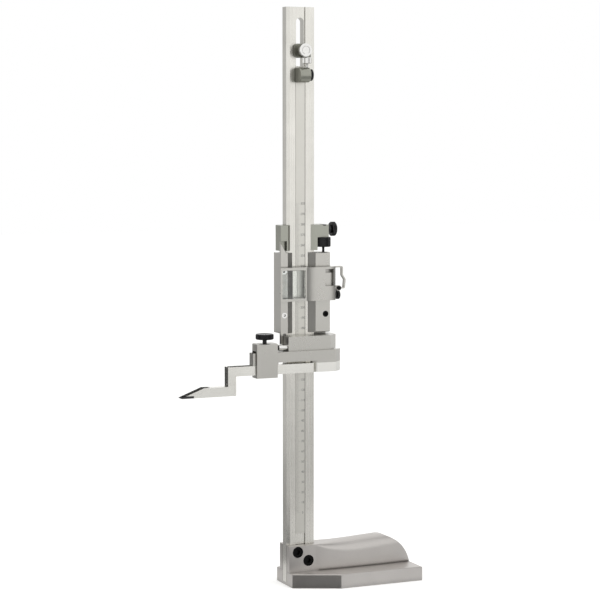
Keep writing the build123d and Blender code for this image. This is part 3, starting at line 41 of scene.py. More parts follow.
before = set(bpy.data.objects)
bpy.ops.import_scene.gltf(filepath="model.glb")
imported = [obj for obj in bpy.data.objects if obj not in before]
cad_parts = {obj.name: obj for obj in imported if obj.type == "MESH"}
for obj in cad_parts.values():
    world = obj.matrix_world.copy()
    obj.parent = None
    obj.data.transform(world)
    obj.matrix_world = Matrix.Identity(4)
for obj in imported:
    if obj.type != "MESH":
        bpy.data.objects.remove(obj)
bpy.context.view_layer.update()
MM = 0.001


def linear(code):
    """Linear RGBA of an sRGB hex colour."""
    channels = [int(code[i:i + 2], 16) / 255 for i in (1, 3, 5)]
    return tuple(c / 12.92 if c <= 0.04045 else ((c + 0.055) / 1.055) ** 2.4 for c in channels) + (1.0,)


def colour(label, about, code):
    """A colour property with its default from a hex code."""
    return FloatVectorProperty(name=label, description=about, subtype="COLOR", size=4, min=0, max=1,
                               default=linear(code))


def length(label, about, millimetres):
    """A length property with its default in millimetres."""
    return FloatProperty(name=label, description=about, unit="LENGTH", default=millimetres * MM, min=0)


# Sizes and colours

class GaugeColours(bpy.types.PropertyGroup):
    """Colours of the finishes."""
    ground: colour("Ground steel", "Column", "#F0EEE7")
    lapped: colour("Lapped steel", "Scriber and the jaw's measuring face", "#FBFAF4")
    ground_dark: colour("Ground steel, deep lines", "Bottom of the grinding lines", "#DEDCD5")
    scale: colour("Scale steel", "Satin scale strip", "#DFDDD5")
    satin: colour("Satin chrome", "Slider, magnifier frame, jaw and scriber clamp", "#CECCC6")
    satin_dark: colour("Satin chrome, shaded", "Faint clouds in the satin plating", "#C8C6C0")
    matt: colour("Matt chrome", "Carriage", "#B1B2A8")
    matt_dark: colour("Matt chrome, shaded", "Faint clouds in the matt plating", "#A8A99F")
    adjuster: colour("Adjuster", "Bracket and clamp block of the scale adjuster", "#98988E")
    casting: colour("Base", "Satin plated casting", "#D2CECA")
    casting_dark: colour("Base, shaded", "Faint clouds in the plated casting", "#CAC6C2")
    bright: colour("Polished chrome", "Bright screws", "#F6F5F2")
    black: colour("Blackened steel", "Cap screws", "#060606")
    knob: colour("Burnished black", "Thumb screws and feed nut", "#3E3E3F")
    brass: colour("Brass", "Gib, shoe and pad", "#C9A35A")
    carbide: colour("Carbide", "Insert at the scriber's point", "#4A4A4C")
    marks: colour("Marks", "Black filler in graduations and numbers", "#585856")
    floor: colour("Floor", "Studio floor", "#F4F4F2")


class GaugeMarks(bpy.types.PropertyGroup):
    """Sizes of the graduations."""
    line: length("Line width", "Width of a main graduation", 0.11)
    fine_line: length("Vernier line width", "Width of a vernier graduation", 0.1)
    number: length("Number height", "Height of the numbers on the main scale", 2.3)
    vernier_number: length("Vernier number height", "Height of the numbers on the vernier", 1.9)
    lift: length("Lift", "How far the marks stand over the metal", 0.012)
    zero: length("Scale zero", "Height of the main scale's zero line", 70.3)
    vernier_zero: length("Vernier zero", "Height of the vernier's zero line", 261.9)
    span: IntProperty(name="Range", description="Number of millimetre divisions", default=300, min=10)


class GaugeFinish(bpy.types.PropertyGroup):
    """Sizes of the surface patterns."""
    grind_pitch: length("Grinding pitch", "Spacing of grinding lines, drawn coarser than real to show", 0.7)
    grind_run: length("Grinding run", "Length of a grinding line", 90)
    grit: length("Blasting grit", "Grain of the satin plating, drawn coarser than real to show", 0.35)
    cloud: length("Cloud size", "Size of the faint tone changes", 28)
    turn_pitch: length("Turning pitch", "Spacing of the lathe's rings, coarser than real to show", 2.2)
    edge: length("Edge break", "Width of the broken edges", 0.3)


class GaugeStudio(bpy.types.PropertyGroup):
    """Camera and light."""
    lens: FloatProperty(name="Lens", description="Focal length in millimetres on a 36 mm sensor",
                        default=118.657)
    position: FloatVectorProperty(name="Camera", description="Place of the camera", subtype="TRANSLATION",
                                  unit="LENGTH", default=(-0.7632, -1.7386, 0.4464))
    heading: FloatProperty(name="Heading", description="Camera heading from +Y towards +X", subtype="ANGLE",
                           default=math.radians(23.75))
    dip: FloatProperty(name="Dip", description="Camera angle below level", subtype="ANGLE",
                       default=math.radians(5.09))
    fill: FloatProperty(name="Fill light", description="Strength of the even light round the object",
                        default=0.75)
    lamp: FloatProperty(name="Lamp", description="Power of the soft lamp", subtype="POWER", default=9.0)


# Lengths of the lines at tens, at fives and between, and where lines and numbers stand, in millimetres
SCALE_LINES = (4.6, 3.7, 2.7)
SCALE_LINE_START = 0.4
SCALE_NUMBER_PLACE = 7.2
VERNIER_LINES = (3.0, 2.5, 1.8)
VERNIER_LINE_START = 0.1
VERNIER_NUMBER_PLACE = 4.6

# The vernier splits 49 millimetres into 50 divisions, on a bevel that runs outwards from its edge
VERNIER_DIVISIONS = 50
VERNIER_STEP = 0.98
BEVEL_EDGE = (-8.8, -5.45, 0)
BEVEL_RUN = (-5.8, -2.85, 0)

# Text size that makes a figure one unit high
FIGURE_SIZE = 1.38

# Steps round one tooth of a knurl and round a thread, and rows of points to one pitch of a thread
TOOTH_STEPS = 6
THREAD_STEPS = 20
THREAD_ROWS = 4

# Centres of the two feed screws beside the column, in millimetres
SCALE_FEED_AXIS = (4.2, -10.9, 0)
SLIDER_FEED_AXIS = (24, -5.2, 0)

# Cards that only the metal mirrors: headings are degrees from -Y towards +X, distances are metres from the
# column, and tones go from 0 for black to 1 for white; a round card has a point for each arc of degrees
CARD_FOOT = -0.05
CARD_HEAD = 1.2
CARD_ARC = 18
LOW_CARD = 0.0002
HIGH_CARD = 0.0004

# Floor, camera and lamp, in metres, with the sensor in millimetres
FLOOR_HALF = 6
FLOOR_DROP = 0.0002
FLOOR_LIFT = 0.4
SENSOR_WIDTH = 36.0
VIEW_END = 50.0
LAMP_SIDE = 1.2
LAMP_PLACE = (0.9, -1.2, 2.0)
LAMP_AIM = (0, 0, 0.25)


# Materials

# Sockets of a colour mix, whose names the node's other kinds share
MIX_SHARE, MIX_UNDER, MIX_OVER, MIX_RESULT = 0, 6, 7, 2

# Spacing of a wave texture's rings at a scale of one
WAVE_SPACING = 2 * math.pi / 20

POLISHING_MARK = 2.5 * MM
FILLER_GRAIN = MM / 3
PAPER_GRAIN = MM / 0.3


def add(tree, kind, attributes=None, values=None, links=None, stops=()):
    """Adds one node with its settings, socket values, links and colour stops."""
    made = tree.nodes.new(kind)
    for name, value in (attributes or {}).items():
        setattr(made, name, value)
    for name, value in (values or {}).items():
        made.inputs[name].default_value = value
    for name, source in (links or {}).items():
        tree.links.new(source, made.inputs[name])
    for count, (position, tone) in enumerate(stops):
        made.color_ramp.elements[count].position = position
        made.color_ramp.elements[count].color = tone
    return made


def made_once(make):
    """Has a material made at its first use, and handed out by its name after that."""
    def hand_out(name, *settings, **more):
        return bpy.data.materials.get(name) or make(name, *settings, **more)
    return hand_out


def fresh(name):
    """A new material, its node tree and its surface shader."""
    made = bpy.data.materials.new(name)
    made.use_nodes = True
    return made, made.node_tree, made.node_tree.nodes["Principled BSDF"]


def crevice(tree, tone, reach):
    """Painted shade: ambient occlusion darkens the tone towards corners and narrow gaps, where shade falls.
    """
    # painted shade: the base colour itself is darkened where surfaces meet, over the given reach
    near = add(tree, "ShaderNodeAmbientOcclusion", {"samples": 8}, {"Distance": reach * MM})
    fall = add(tree, "ShaderNodeMapRange", values={"From Min": 0.15, "From Max": 0.75, "To Min": 0.4},
               links={"Value": near.outputs["AO"]})
    crevice_shaded_tone = add(tree, "ShaderNodeMix", {"data_type": "RGBA", "blend_type": "MULTIPLY"}, {MIX_SHARE: 1.0},
                 {MIX_UNDER: tone, MIX_OVER: fall.outputs["Result"]})
    return crevice_shaded_tone.outputs[MIX_RESULT]


def surface(tree, shader, tone, reach, gloss, relief, metallic=1.0):
    """Wires a metal's tone, gloss and relief to its shader, with painted shade darkening its corners."""
    # painted shade: the tone is darkened by ambient occlusion in corners and gaps
    tree.links.new(crevice(tree, tone, reach), shader.inputs["Base Color"])
    tree.links.new(gloss.outputs["Result"], shader.inputs["Roughness"])
    tree.links.new(relief.outputs["Normal"], shader.inputs["Normal"])
    shader.inputs["Metallic"].default_value = metallic


@made_once
def streaked_steel(name, light, dark, along, roughness, finish):
    """Tool steel, surface-ground: fine lines along one direction that catch the light as a soft grain."""
    material, tree, shader = fresh(name)
    place = add(tree, "ShaderNodeTexCoord").outputs["Object"]
    scale = [1 / (finish.grind_run if axis == along else finish.grind_pitch) for axis in "XYZ"]
    stretch = add(tree, "ShaderNodeMapping", values={"Scale": scale}, links={"Vector": place})
    lines = add(tree, "ShaderNodeTexNoise", values={"Scale": 1.0, "Detail": 3.0, "Roughness": 0.6},
                links={"Vector": stretch.outputs["Vector"]}).outputs["Fac"]
    clouds = add(tree, "ShaderNodeTexNoise", values={"Scale": 1 / finish.cloud, "Detail": 2.0},
                 links={"Vector": place}).outputs["Fac"]
    mottle = add(tree, "ShaderNodeMath", {"operation": "MULTIPLY"}, links={0: lines, 1: clouds})
    tone = add(tree, "ShaderNodeValToRGB", links={"Fac": mottle.outputs["Value"]},
               stops=[(0.1, dark), (0.4, light)])
    gloss = add(tree, "ShaderNodeMapRange", links={"Value": lines},
                values={"To Min": roughness - 0.05, "To Max": roughness + 0.07})
    relief = add(tree, "ShaderNodeBump", values={"Strength": 0.2, "Distance": 0.04 * MM},
                 links={"Height": lines})
    surface(tree, shader, tone.outputs["Color"], 2.0, gloss, relief)
    return material


@made_once
def blasted_chrome(name, light, dark, roughness, finish, ground=None, reach=5.0):
    """Hard chrome over bead-blasted steel: an even, matt silver with a fine grain and faint clouds.

    Where ground gives a level and a tone, the face below that level is ground bright in that tone.
    """
    material, tree, shader = fresh(name)
    place = add(tree, "ShaderNodeTexCoord").outputs["Object"]
    grain = add(tree, "ShaderNodeTexNoise", values={"Scale": 1 / finish.grit, "Detail": 2.0},
                links={"Vector": place}).outputs["Fac"]
    clouds = add(tree, "ShaderNodeTexNoise", values={"Scale": 1 / finish.cloud, "Detail": 3.0},
                 links={"Vector": place}).outputs["Fac"]
    mottle = add(tree, "ShaderNodeMath", {"operation": "MULTIPLY"}, links={0: grain, 1: clouds})
    tone = add(tree, "ShaderNodeValToRGB", links={"Fac": mottle.outputs["Value"]},
               stops=[(0.12, dark), (0.36, light)]).outputs["Color"]
    gloss = add(tree, "ShaderNodeMapRange", links={"Value": clouds},
                values={"To Min": roughness - 0.05, "To Max": roughness + 0.07})
    relief = add(tree, "ShaderNodeBump", values={"Strength": 0.12, "Distance": 0.03 * MM},
                 links={"Height": grain})
    if ground:
        level, bright = ground
        height = add(tree, "ShaderNodeSeparateXYZ", links={"Vector": place}).outputs["Z"]
        below = add(tree, "ShaderNodeMath", {"operation": "LESS_THAN"}, {1: level}, {0: height})
        tone = add(tree, "ShaderNodeMix", {"data_type": "RGBA"}, {MIX_OVER: bright},
                   {MIX_SHARE: below.outputs["Value"], MIX_UNDER: tone}).outputs[MIX_RESULT]
    surface(tree, shader, tone, reach, gloss, relief)
    return material


@made_once
def turned_metal(name, light, roughness, metallic, finish):
    """Bar stock, turned on a lathe: rings round the axis, and a grain that changes the tone a little."""
    material, tree, shader = fresh(name)
    place = add(tree, "ShaderNodeTexCoord").outputs["Object"]
    rings = add(tree, "ShaderNodeTexWave", {"wave_type": "RINGS", "rings_direction": "Z"},
                {"Scale": WAVE_SPACING / finish.turn_pitch, "Distortion": 0.6, "Detail": 1.0},
                {"Vector": place}).outputs["Fac"]
    grain = add(tree, "ShaderNodeTexNoise", values={"Scale": 1 / finish.grit, "Detail": 2.0},
                links={"Vector": place}).outputs["Fac"]
    shade = tuple(c * 0.8 for c in light[:3]) + (1.0,)
    tone = add(tree, "ShaderNodeValToRGB", links={"Fac": grain}, stops=[(0.3, shade), (0.65, light)])
    gloss = add(tree, "ShaderNodeMapRange", links={"Value": grain},
                values={"To Min": roughness - 0.04, "To Max": roughness + 0.06})
    relief = add(tree, "ShaderNodeBump", values={"Strength": 0.15, "Distance": 0.02 * MM},
                 links={"Height": rings})
    surface(tree, shader, tone.outputs["Color"], 1.5, gloss, relief, metallic)
    return material


def satin_chromed_steel(tones, finish):
    """Satin hard chrome on the slider, vernier plate, magnifier and scriber clamp: soft silver."""
    return blasted_chrome("satin_chromed_steel", tones.satin, tones.satin_dark, 0.28, finish)


def polished_chromed_steel(tones, finish):
    """Polished chrome on the small screws: bright, with clear reflections."""
    return turned_metal("polished_chromed_steel", tones.bright, 0.12, 1.0, finish)


def burnished_black_steel(tones, finish):
    """Steel burnished black on the thumb screws and the feed nut: dark, with a metal's sheen."""
    return turned_metal("burnished_black_steel", tones.knob, 0.26, 1.0, finish)


def turned_brass(tones, finish):
    """Turned brass of the gib, the shoe and the pad: a warm, half-bright yellow."""
    return turned_metal("turned_brass", tones.brass, 0.25, 1.0, finish)


def blackened_steel(tones, finish):
    """Steel with a black oxide finish, oiled: near black, half gloss, with a slightly uneven sheen."""
    material = turned_metal("blackened_steel", tones.black, 0.4, 0.0, finish)
    shader = material.node_tree.nodes["Principled BSDF"]
    shader.inputs["Specular IOR Level"].default_value = 0.15
    return material


@made_once
def clear_acrylic(name):
    """Cast acrylic, polished: colourless and clear, with faint polishing marks."""
    material, tree, shader = fresh(name)
    place = add(tree, "ShaderNodeTexCoord").outputs["Object"]
    marks = add(tree, "ShaderNodeTexNoise", values={"Scale": 1 / POLISHING_MARK, "Detail": 2.0},
                links={"Vector": place})
    gloss = add(tree, "ShaderNodeMapRange", values={"To Min": 0.0, "To Max": 0.05},
                links={"Value": marks.outputs["Fac"]})
    tree.links.new(gloss.outputs["Result"], shader.inputs["Roughness"])
    shader.inputs["Base Color"].default_value = (0.96, 0.98, 0.98, 1.0)
    shader.inputs["IOR"].default_value = 1.49
    shader.inputs["Transmission Weight"].default_value = 1.0
    return material


@made_once
def mark_filler(name, tone):
    """Engraver's black filler: matt, with tiny gaps where the metal's grain shows through."""
    material, tree, shader = fresh(name)
    place = add(tree, "ShaderNodeTexCoord").outputs["Object"]
    grain = add(tree, "ShaderNodeTexNoise", values={"Scale": 1 / FILLER_GRAIN, "Detail": 1.0},
                links={"Vector": place})
    gap = tuple(min(1.0, c * 3 + 0.02) for c in tone[:3]) + (1.0,)
    fill = add(tree, "ShaderNodeValToRGB", links={"Fac": grain.outputs["Fac"]},
               stops=[(0.35, tone), (0.9, gap)])
    tree.links.new(fill.outputs["Color"], shader.inputs["Base Color"])
    shader.inputs["Roughness"].default_value = 0.7
    return material


def seen_directly(tree):
    """One where the camera, the metals or the lens look at a surface, and nought where it only lights."""
    rays = add(tree, "ShaderNodeLightPath")
    seen = add(tree, "ShaderNodeMath", {"operation": "MAXIMUM"},
               links={0: rays.outputs["Is Camera Ray"], 1: rays.outputs["Is Glossy Ray"]})
    seen = add(tree, "ShaderNodeMath", {"operation": "MAXIMUM"},
               links={0: seen.outputs["Value"], 1: rays.outputs["Is Transmission Ray"]})
    return seen.outputs["Value"]


# Shapes

def paint(node, material):
    """Gives a carried-over solid its material."""
    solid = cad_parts[node]
    solid.data.materials.clear()
    solid.data.materials.append(material)


def soften(node, width):
    """Breaks a solid's sharp edges with a small bevel that catches the light."""
    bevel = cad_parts[node].modifiers.new("broken_edges", "BEVEL")
    bevel.width = width
    bevel.segments = 2
    bevel.limit_method = "ANGLE"
    bevel.angle_limit = math.radians(35)
    bevel.harden_normals = True


def piece(name, mesh, material, body):
    """Links a new piece, gives it its material and lets it ride on its body."""
    made = bpy.data.objects.new(name, mesh)
    bpy.context.scene.collection.objects.link(made)
    mesh.materials.append(material)
    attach(made, body)
    return made


def finished(shape, name, crease=None):
    """Turns a shape into a mesh, and a shape in millimetres into a smooth one with sharp creases."""
    mesh = bpy.data.meshes.new(name)
    shape.to_mesh(mesh)
    shape.free()
    if crease:
        mesh.transform(Matrix.Scale(MM, 4))
        mesh.shade_smooth()
        mesh.set_sharp_from_angle(angle=math.radians(crease))
    return mesh


def skin(shape, rings, closed):
    """Faces between rings of points: a tube where it closes on itself, and otherwise a rod with ends."""
    steps = len(rings[0])
    for low, high in zip(rings, rings[1:] + rings[:1] if closed else rings[1:]):
        for step in range(steps):
            after = (step + 1) % steps
            shape.faces.new((low[step], low[after], high[after], high[step]))
    if not closed:
        shape.faces.new(list(reversed(rings[0])))
        shape.faces.new(rings[-1])


def turned(name, stations, teeth, material, body, seat, facing, nodes, bore=0.0):
    """A turned piece, solid or with a bore: stations are (radius, distance along the axis, knurl depth)."""
    shape = bmesh.new()
    if bore:
        stations = stations + [(bore, stations[-1][1], 0), (bore, stations[0][1], 0)]
    steps = teeth * TOOTH_STEPS
    rings = []
    for radius, height, depth in stations:
        ring = []
        for step in range(steps):
            turn = 2 * math.pi * step / steps
            reach = radius - depth * (0.5 - 0.5 * math.cos(teeth * turn))
            ring.append(shape.verts.new((reach * math.cos(turn), reach * math.sin(turn), height)))
        rings.append(ring)
    skin(shape, rings, closed=bool(bore))
    shape.normal_update()
    mesh = finished(shape, name, crease=32)
    made = bpy.data.objects.new(name, mesh)
    bpy.context.scene.collection.objects.link(made)
    mesh.materials.append(material)
    made.rotation_mode = "QUATERNION"
    made.rotation_quaternion = Vector(facing).to_track_quat("Z", "Y")
    made.location = Vector(seat) * MM
    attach(made, body)
    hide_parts(*nodes)


def thumb_screw(name, material, body, nodes, seat, facing, neck, head, shank, knurl, teeth):
    """A thumb screw: shank inwards, neck, and a head with a knurled rim, broken edges and a dished face.

    Neck, head and shank are each a radius and a length, and the seat is where the shank meets the neck.
    """
    neck_radius, neck_length = neck
    head_radius, head_length = head
    shank_radius, shank_length = shank
    tip = 0.3
    lip = head_length * 0.13
    face = neck_length + head_length
    dish = face - 0.25
    stations = [
        (shank_radius - tip, -shank_length, 0), (shank_radius, -shank_length + tip, 0),
        (shank_radius, 0, 0), (neck_radius, 0, 0), (neck_radius, neck_length, 0),
        (head_radius - lip, neck_length, 0), (head_radius, neck_length + lip, 0),
        (head_radius, neck_length + lip, knurl), (head_radius, face - lip, knurl),
        (head_radius, face - lip, 0), (head_radius - lip, face, 0),
        (head_radius * 0.62, face, 0), (head_radius * 0.56, dish, 0), (0.4, dish, 0),
    ]
    turned(name, stations, teeth, material, body, seat, facing, nodes)


def knurled_nut(name, material, body, nodes, axis, rim, edge, low, high, sleeve, top, bore, knurl,
                teeth):
    """A nut with a knurled rim between two heights, and a thin sleeve that goes on up to its top."""
    tip = 1.9
    stations = [
        (rim - edge, low, 0), (rim, low + edge, 0), (rim, low + edge, knurl), (rim, high - edge, knurl),
        (rim, high - edge, 0), (rim - edge, high, 0), (sleeve, high, 0), (sleeve, top - 0.1, 0),
        (tip, top, 0),
    ]
    turned(name, stations, teeth, material, body, axis, (0, 0, 1), nodes, bore)


def thread_mesh(name, axis, radius, depth, pitch, low, high):
    """A threaded rod, upright on its axis: one helical groove of triangular form between two heights."""
    shape = bmesh.new()
    rows = int((high - low) / pitch * THREAD_ROWS)
    rings = []
    for row in range(rows + 1):
        height = low + (high - low) * row / rows
        ring = []
        for step in range(THREAD_STEPS):
            turn = step / THREAD_STEPS
            phase = ((height / pitch) - turn) % 1.0
            reach = radius - depth * (1 - abs(2 * phase - 1))
            angle = 2 * math.pi * turn
            ring.append(shape.verts.new((reach * math.cos(angle), reach * math.sin(angle), height)))
        rings.append(ring)
    skin(shape, rings, closed=False)
    mesh = finished(shape, name, crease=60)
    mesh.transform(Matrix.Translation(Vector(axis) * MM))
    return mesh


def quad(shape, corners):
    """One flat four-sided mark."""
    shape.faces.new([shape.verts.new(corner) for corner in corners])


def line_length(count, lengths):
    """Length of a graduation: long at tens, shorter at fives and shortest between."""
    tens, fives, ones = lengths
    return (tens if count % 10 == 0 else fives if count % 5 == 0 else ones) * MM


def lettering(words, size):
    """The flat mesh of a short number, centred on its own origin."""
    text = bpy.data.curves.new("number", "FONT")
    text.body = words
    text.size = size * FIGURE_SIZE
    text.align_x = "CENTER"
    text.align_y = "CENTER"
    text.resolution_u = 3
    holder = bpy.data.objects.new("number", text)
    bpy.context.scene.collection.objects.link(holder)
    graph = bpy.context.evaluated_depsgraph_get()
    mesh = bpy.data.meshes.new_from_object(holder.evaluated_get(graph))
    bpy.data.objects.remove(holder)
    bpy.data.curves.remove(text)
    return mesh


def stamp(shape, words, size, matrix):
    """Adds a number to the marks at a place."""
    mesh = lettering(words, size)
    mesh.transform(matrix)
    shape.from_mesh(mesh)
    bpy.data.meshes.remove(mesh)


# Operators

class GaugeOperator:
    """Shared settings of the gauge's operators."""
    bl_options = {"REGISTER", "UNDO"}


class GAUGE_OT_dress_base(GaugeOperator, bpy.types.Operator):
    """Finish the base casting, the column and the screws that hold it"""
    bl_idname = "gauge.dress_base"
    bl_label = "Base and column"

    def execute(self, context):
        tones, finish = context.scene.gauge_colours, context.scene.gauge_finish
        # the wide reach paints a broad band of shade along the grip's foot and the base's other corners
        casting = blasted_chrome("satin_chromed_casting", tones.casting, tones.casting_dark, 0.38, finish,
                                 reach=11.0)
        paint("base", casting)
        paint("column", streaked_steel("ground_steel_upright", tones.ground, tones.ground_dark, "Z", 0.26,
                                       finish))
        paint("column_screws", blackened_steel(tones, finish))
        soften("base", finish.edge * 1.5)
        soften("column_screws", finish.edge / 2)
        return {"FINISHED"}


class GAUGE_OT_mark_scale(GaugeOperator, bpy.types.Operator):
    """Finish the scale strip and cut its graduations and numbers"""
    bl_idname = "gauge.mark_scale"
    bl_label = "Main scale"

    def execute(self, context):
        scene = context.scene
        tones, finish, marks = scene.gauge_colours, scene.gauge_finish, scene.gauge_marks
        steel = blasted_chrome("satin_scale_steel", tones.scale, tones.ground_dark, 0.34, finish, reach=0.8)
        paint("main_scale", steel)
        low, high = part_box("main_scale")
        front = low.y - marks.lift
        left = low.x + SCALE_LINE_START * MM
        half = marks.line / 2
        shape = bmesh.new()
        for count in range(marks.span + 1):
            level = marks.zero + count * MM
            right = left + line_length(count, SCALE_LINES)
            quad(shape, [(left, front, level - half), (right, front, level - half),
                         (right, front, level + half), (left, front, level + half)])
        upright = Matrix.Rotation(math.radians(90), 4, "X")
        for count in range(0, marks.span + 1, 10):
            place = Vector((left + SCALE_NUMBER_PLACE * MM, front, marks.zero + count * MM))
            stamp(shape, str(count), marks.number, Matrix.Translation(place) @ upright)
        filler = mark_filler("black_mark_filler", tones.marks)
        piece("scale_graduations", finished(shape, "scale_graduations"), filler, "scale")
        return {"FINISHED"}


class GAUGE_OT_dress_scale_adjuster(GaugeOperator, bpy.types.Operator):
    """Finish the adjuster at the top of the column, with its bright screws"""
    bl_idname = "gauge.dress_scale_adjuster"
    bl_label = "Scale adjuster"

    def execute(self, context):
        tones, finish = context.scene.gauge_colours, context.scene.gauge_finish
        steel = blasted_chrome("chromed_adjuster_steel", tones.adjuster, tones.matt_dark, 0.3, finish)
        knob = burnished_black_steel(tones, finish)
        bright = polished_chromed_steel(tones, finish)
        for node in ("scale_bracket", "scale_clamp_block", "scale_clamp_plate"):
            paint(node, steel)
            soften(node, finish.edge)
        paint("scale_rivets", bright)
        paint("scale_feed_ring", bright)
        thumb_screw("scale_clamp_thumb_screw", bright, "scale_clamp_turner",
                    ["scale_clamp_screw"], seat=(0, -7.65, 515.8), facing=(0, -1, 0), neck=(2.2, 7.35),
                    head=(6.4, 3.5), shank=(1.6, 16.8), knurl=0.3, teeth=40)
        thumb_screw("scale_lock_thumb_screw", knob, "scale_lock", ["scale_lock_screw"],
                    seat=(5.55, -12.9, 492.6), facing=(1, 0, 0), neck=(2.4, 0.95), head=(5.5, 1.7),
                    shank=(2.0, 5.5), knurl=0.2, teeth=40)
        knurled_nut("scale_feed_knurled_nut", bright, "scale_nut", ["scale_feed_nut"],
                    SCALE_FEED_AXIS, rim=4.2, edge=0.4, low=503.4, high=509.15, sleeve=2.1, top=513.25,
                    bore=1.3, knurl=0.25, teeth=32)
        rod = thread_mesh("scale_feed_thread", SCALE_FEED_AXIS, radius=1.25, depth=0.14, pitch=0.5,
                          low=495.2, high=514.5)
        made = piece("scale_feed_threaded_stud", rod, bright, "scale")
        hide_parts("scale_feed_screw")
        return {"FINISHED"}


class GAUGE_OT_dress_carriage(GaugeOperator, bpy.types.Operator):
    """Finish the fine-feed carriage, its thumb screw, nut and threaded rod"""
    bl_idname = "gauge.dress_carriage"
    bl_label = "Fine-feed carriage"

    def execute(self, context):
        tones, finish = context.scene.gauge_colours, context.scene.gauge_finish
        knob = burnished_black_steel(tones, finish)
        paint("carriage", blasted_chrome("matt_chromed_steel", tones.matt, tones.matt_dark, 0.3, finish))
        soften("carriage", finish.edge)
        paint("carriage_shoe", turned_brass(tones, finish))
        paint("feed_nut_ring", knob)
        thumb_screw("carriage_thumb_screw", knob, "carriage_clamp", ["carriage_clamp_screw"],
                    seat=(28.55, 0, 345.2), facing=(1, 0, 0), neck=(4.0, 5.45), head=(6.9, 4.5),
                    shank=(2.0, 12.0), knurl=0.35, teeth=44)
        knurled_nut("feed_knurled_nut", knob, "feed_turner", ["feed_nut"], SLIDER_FEED_AXIS,
                    rim=7.1, edge=0.6, low=328.5, high=337.85, sleeve=2.0, top=349.8, bore=1.36, knurl=0.35,
                    teeth=44)
        rod = thread_mesh("feed_thread", SLIDER_FEED_AXIS, radius=1.3, depth=0.2, pitch=0.75,
                          low=311.5, high=349.4)
        made = piece("feed_threaded_rod", rod, knob, "slider_body")
        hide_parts("feed_screw")
        return {"FINISHED"}


class GAUGE_OT_dress_slider(GaugeOperator, bpy.types.Operator):
    """Finish the slider, its gib, screws and the block that carries the jaw"""
    bl_idname = "gauge.dress_slider"
    bl_label = "Slider"

    def execute(self, context):
        tones, finish = context.scene.gauge_colours, context.scene.gauge_finish
        paint("slider", satin_chromed_steel(tones, finish))
        soften("slider", finish.edge)
        paint("slider_gib", turned_brass(tones, finish))
        for node in ("gib_screws", "front_screws"):
            paint(node, blackened_steel(tones, finish))
        paint("vernier_screws", polished_chromed_steel(tones, finish))
        knob = burnished_black_steel(tones, finish)
        thumb_screw("slider_thumb_screw", knob, "slider_clamp", ["slider_clamp_screw"],
                    seat=(29.95, 0, 281.2), facing=(1, 0, 0), neck=(3.0, 10.05),
                    head=(4.4, 3.0), shank=(2.0, 13.0), knurl=0.3, teeth=32)
        return {"FINISHED"}


class GAUGE_OT_mark_vernier(GaugeOperator, bpy.types.Operator):
    """Finish the vernier plate and cut its fifty divisions on the bevel"""
    bl_idname = "gauge.mark_vernier"
    bl_label = "Vernier"

    def execute(self, context):
        scene = context.scene
        tones, finish, marks = scene.gauge_colours, scene.gauge_finish, scene.gauge_marks
        paint("vernier_plate", satin_chromed_steel(tones, finish))
        soften("vernier_plate", finish.edge / 2)
        outward = Vector(BEVEL_RUN).normalized()
        facing = Vector((-outward.y, outward.x, 0))
        foot = Vector(BEVEL_EDGE) * MM + facing * marks.lift
        half = Vector((0, 0, marks.fine_line / 2))
        shape = bmesh.new()
        for count in range(VERNIER_DIVISIONS + 1):
            level = Vector((0, 0, marks.vernier_zero + count * VERNIER_STEP * MM))
            start = foot + outward * VERNIER_LINE_START * MM + level
            end = start + outward * line_length(count, VERNIER_LINES)
            quad(shape, [start - half, start + half, end + half, end - half])
        turn = Matrix((-outward, Vector((0, 0, 1)), facing)).transposed().to_4x4()
        for number in range(0, 11, 2):
            level = Vector((0, 0, marks.vernier_zero + number * 5 * VERNIER_STEP * MM))
            place = foot + outward * VERNIER_NUMBER_PLACE * MM + level
            stamp(shape, str(number), marks.vernier_number, Matrix.Translation(place) @ turn)
        filler = mark_filler("black_mark_filler", tones.marks)
        piece("vernier_graduations", finished(shape, "vernier_graduations"), filler, "slider_body")
        return {"FINISHED"}


class GAUGE_OT_dress_magnifier(GaugeOperator, bpy.types.Operator):
    """Finish the magnifier's frame, lens, loop and pin"""
    bl_idname = "gauge.dress_magnifier"
    bl_label = "Magnifier"

    def execute(self, context):
        tones, finish = context.scene.gauge_colours, context.scene.gauge_finish
        for node in ("magnifier_frame", "magnifier_loop"):
            paint(node, satin_chromed_steel(tones, finish))
        soften("magnifier_frame", finish.edge)
        paint("magnifier_pin", blackened_steel(tones, finish))
        paint("magnifier_lens", clear_acrylic("polished_clear_acrylic"))
        return {"FINISHED"}


class GAUGE_OT_dress_jaw(GaugeOperator, bpy.types.Operator):
    """Finish the jaw, the scriber, its insert and the clamp that holds them"""
    bl_idname = "gauge.dress_jaw"
    bl_label = "Jaw and scriber"

    def execute(self, context):
        tones, finish = context.scene.gauge_colours, context.scene.gauge_finish
        _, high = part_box("scriber")
        paint("jaw", blasted_chrome("satin_chromed_jaw_steel", tones.satin, tones.satin_dark, 0.28, finish,
                                    ground=(high.z, tones.lapped)))
        paint("scriber_clamp", satin_chromed_steel(tones, finish))
        paint("scriber", streaked_steel("lapped_steel_lengthwise", tones.lapped, tones.ground, "X", 0.24,
                                        finish))
        paint("jaw_screws", blackened_steel(tones, finish))
        paint("scriber_tip", blasted_chrome("ground_carbide", tones.carbide, tones.marks, 0.3, finish))
        paint("jaw_side_screw", polished_chromed_steel(tones, finish))
        paint("scriber_clamp_pad", turned_brass(tones, finish))
        for node in ("jaw", "scriber_clamp", "scriber"):
            soften(node, finish.edge)
        knob = burnished_black_steel(tones, finish)
        thumb_screw("scriber_thumb_screw", knob, "clamp_turner", ["scriber_clamp_screw"],
                    seat=(-43.4, -19.5, 239.2), facing=(0, 0, 1), neck=(2.0, 3.8),
                    head=(8.6, 5.2), shank=(2.0, 7.0), knurl=0.4, teeth=52)
        return {"FINISHED"}


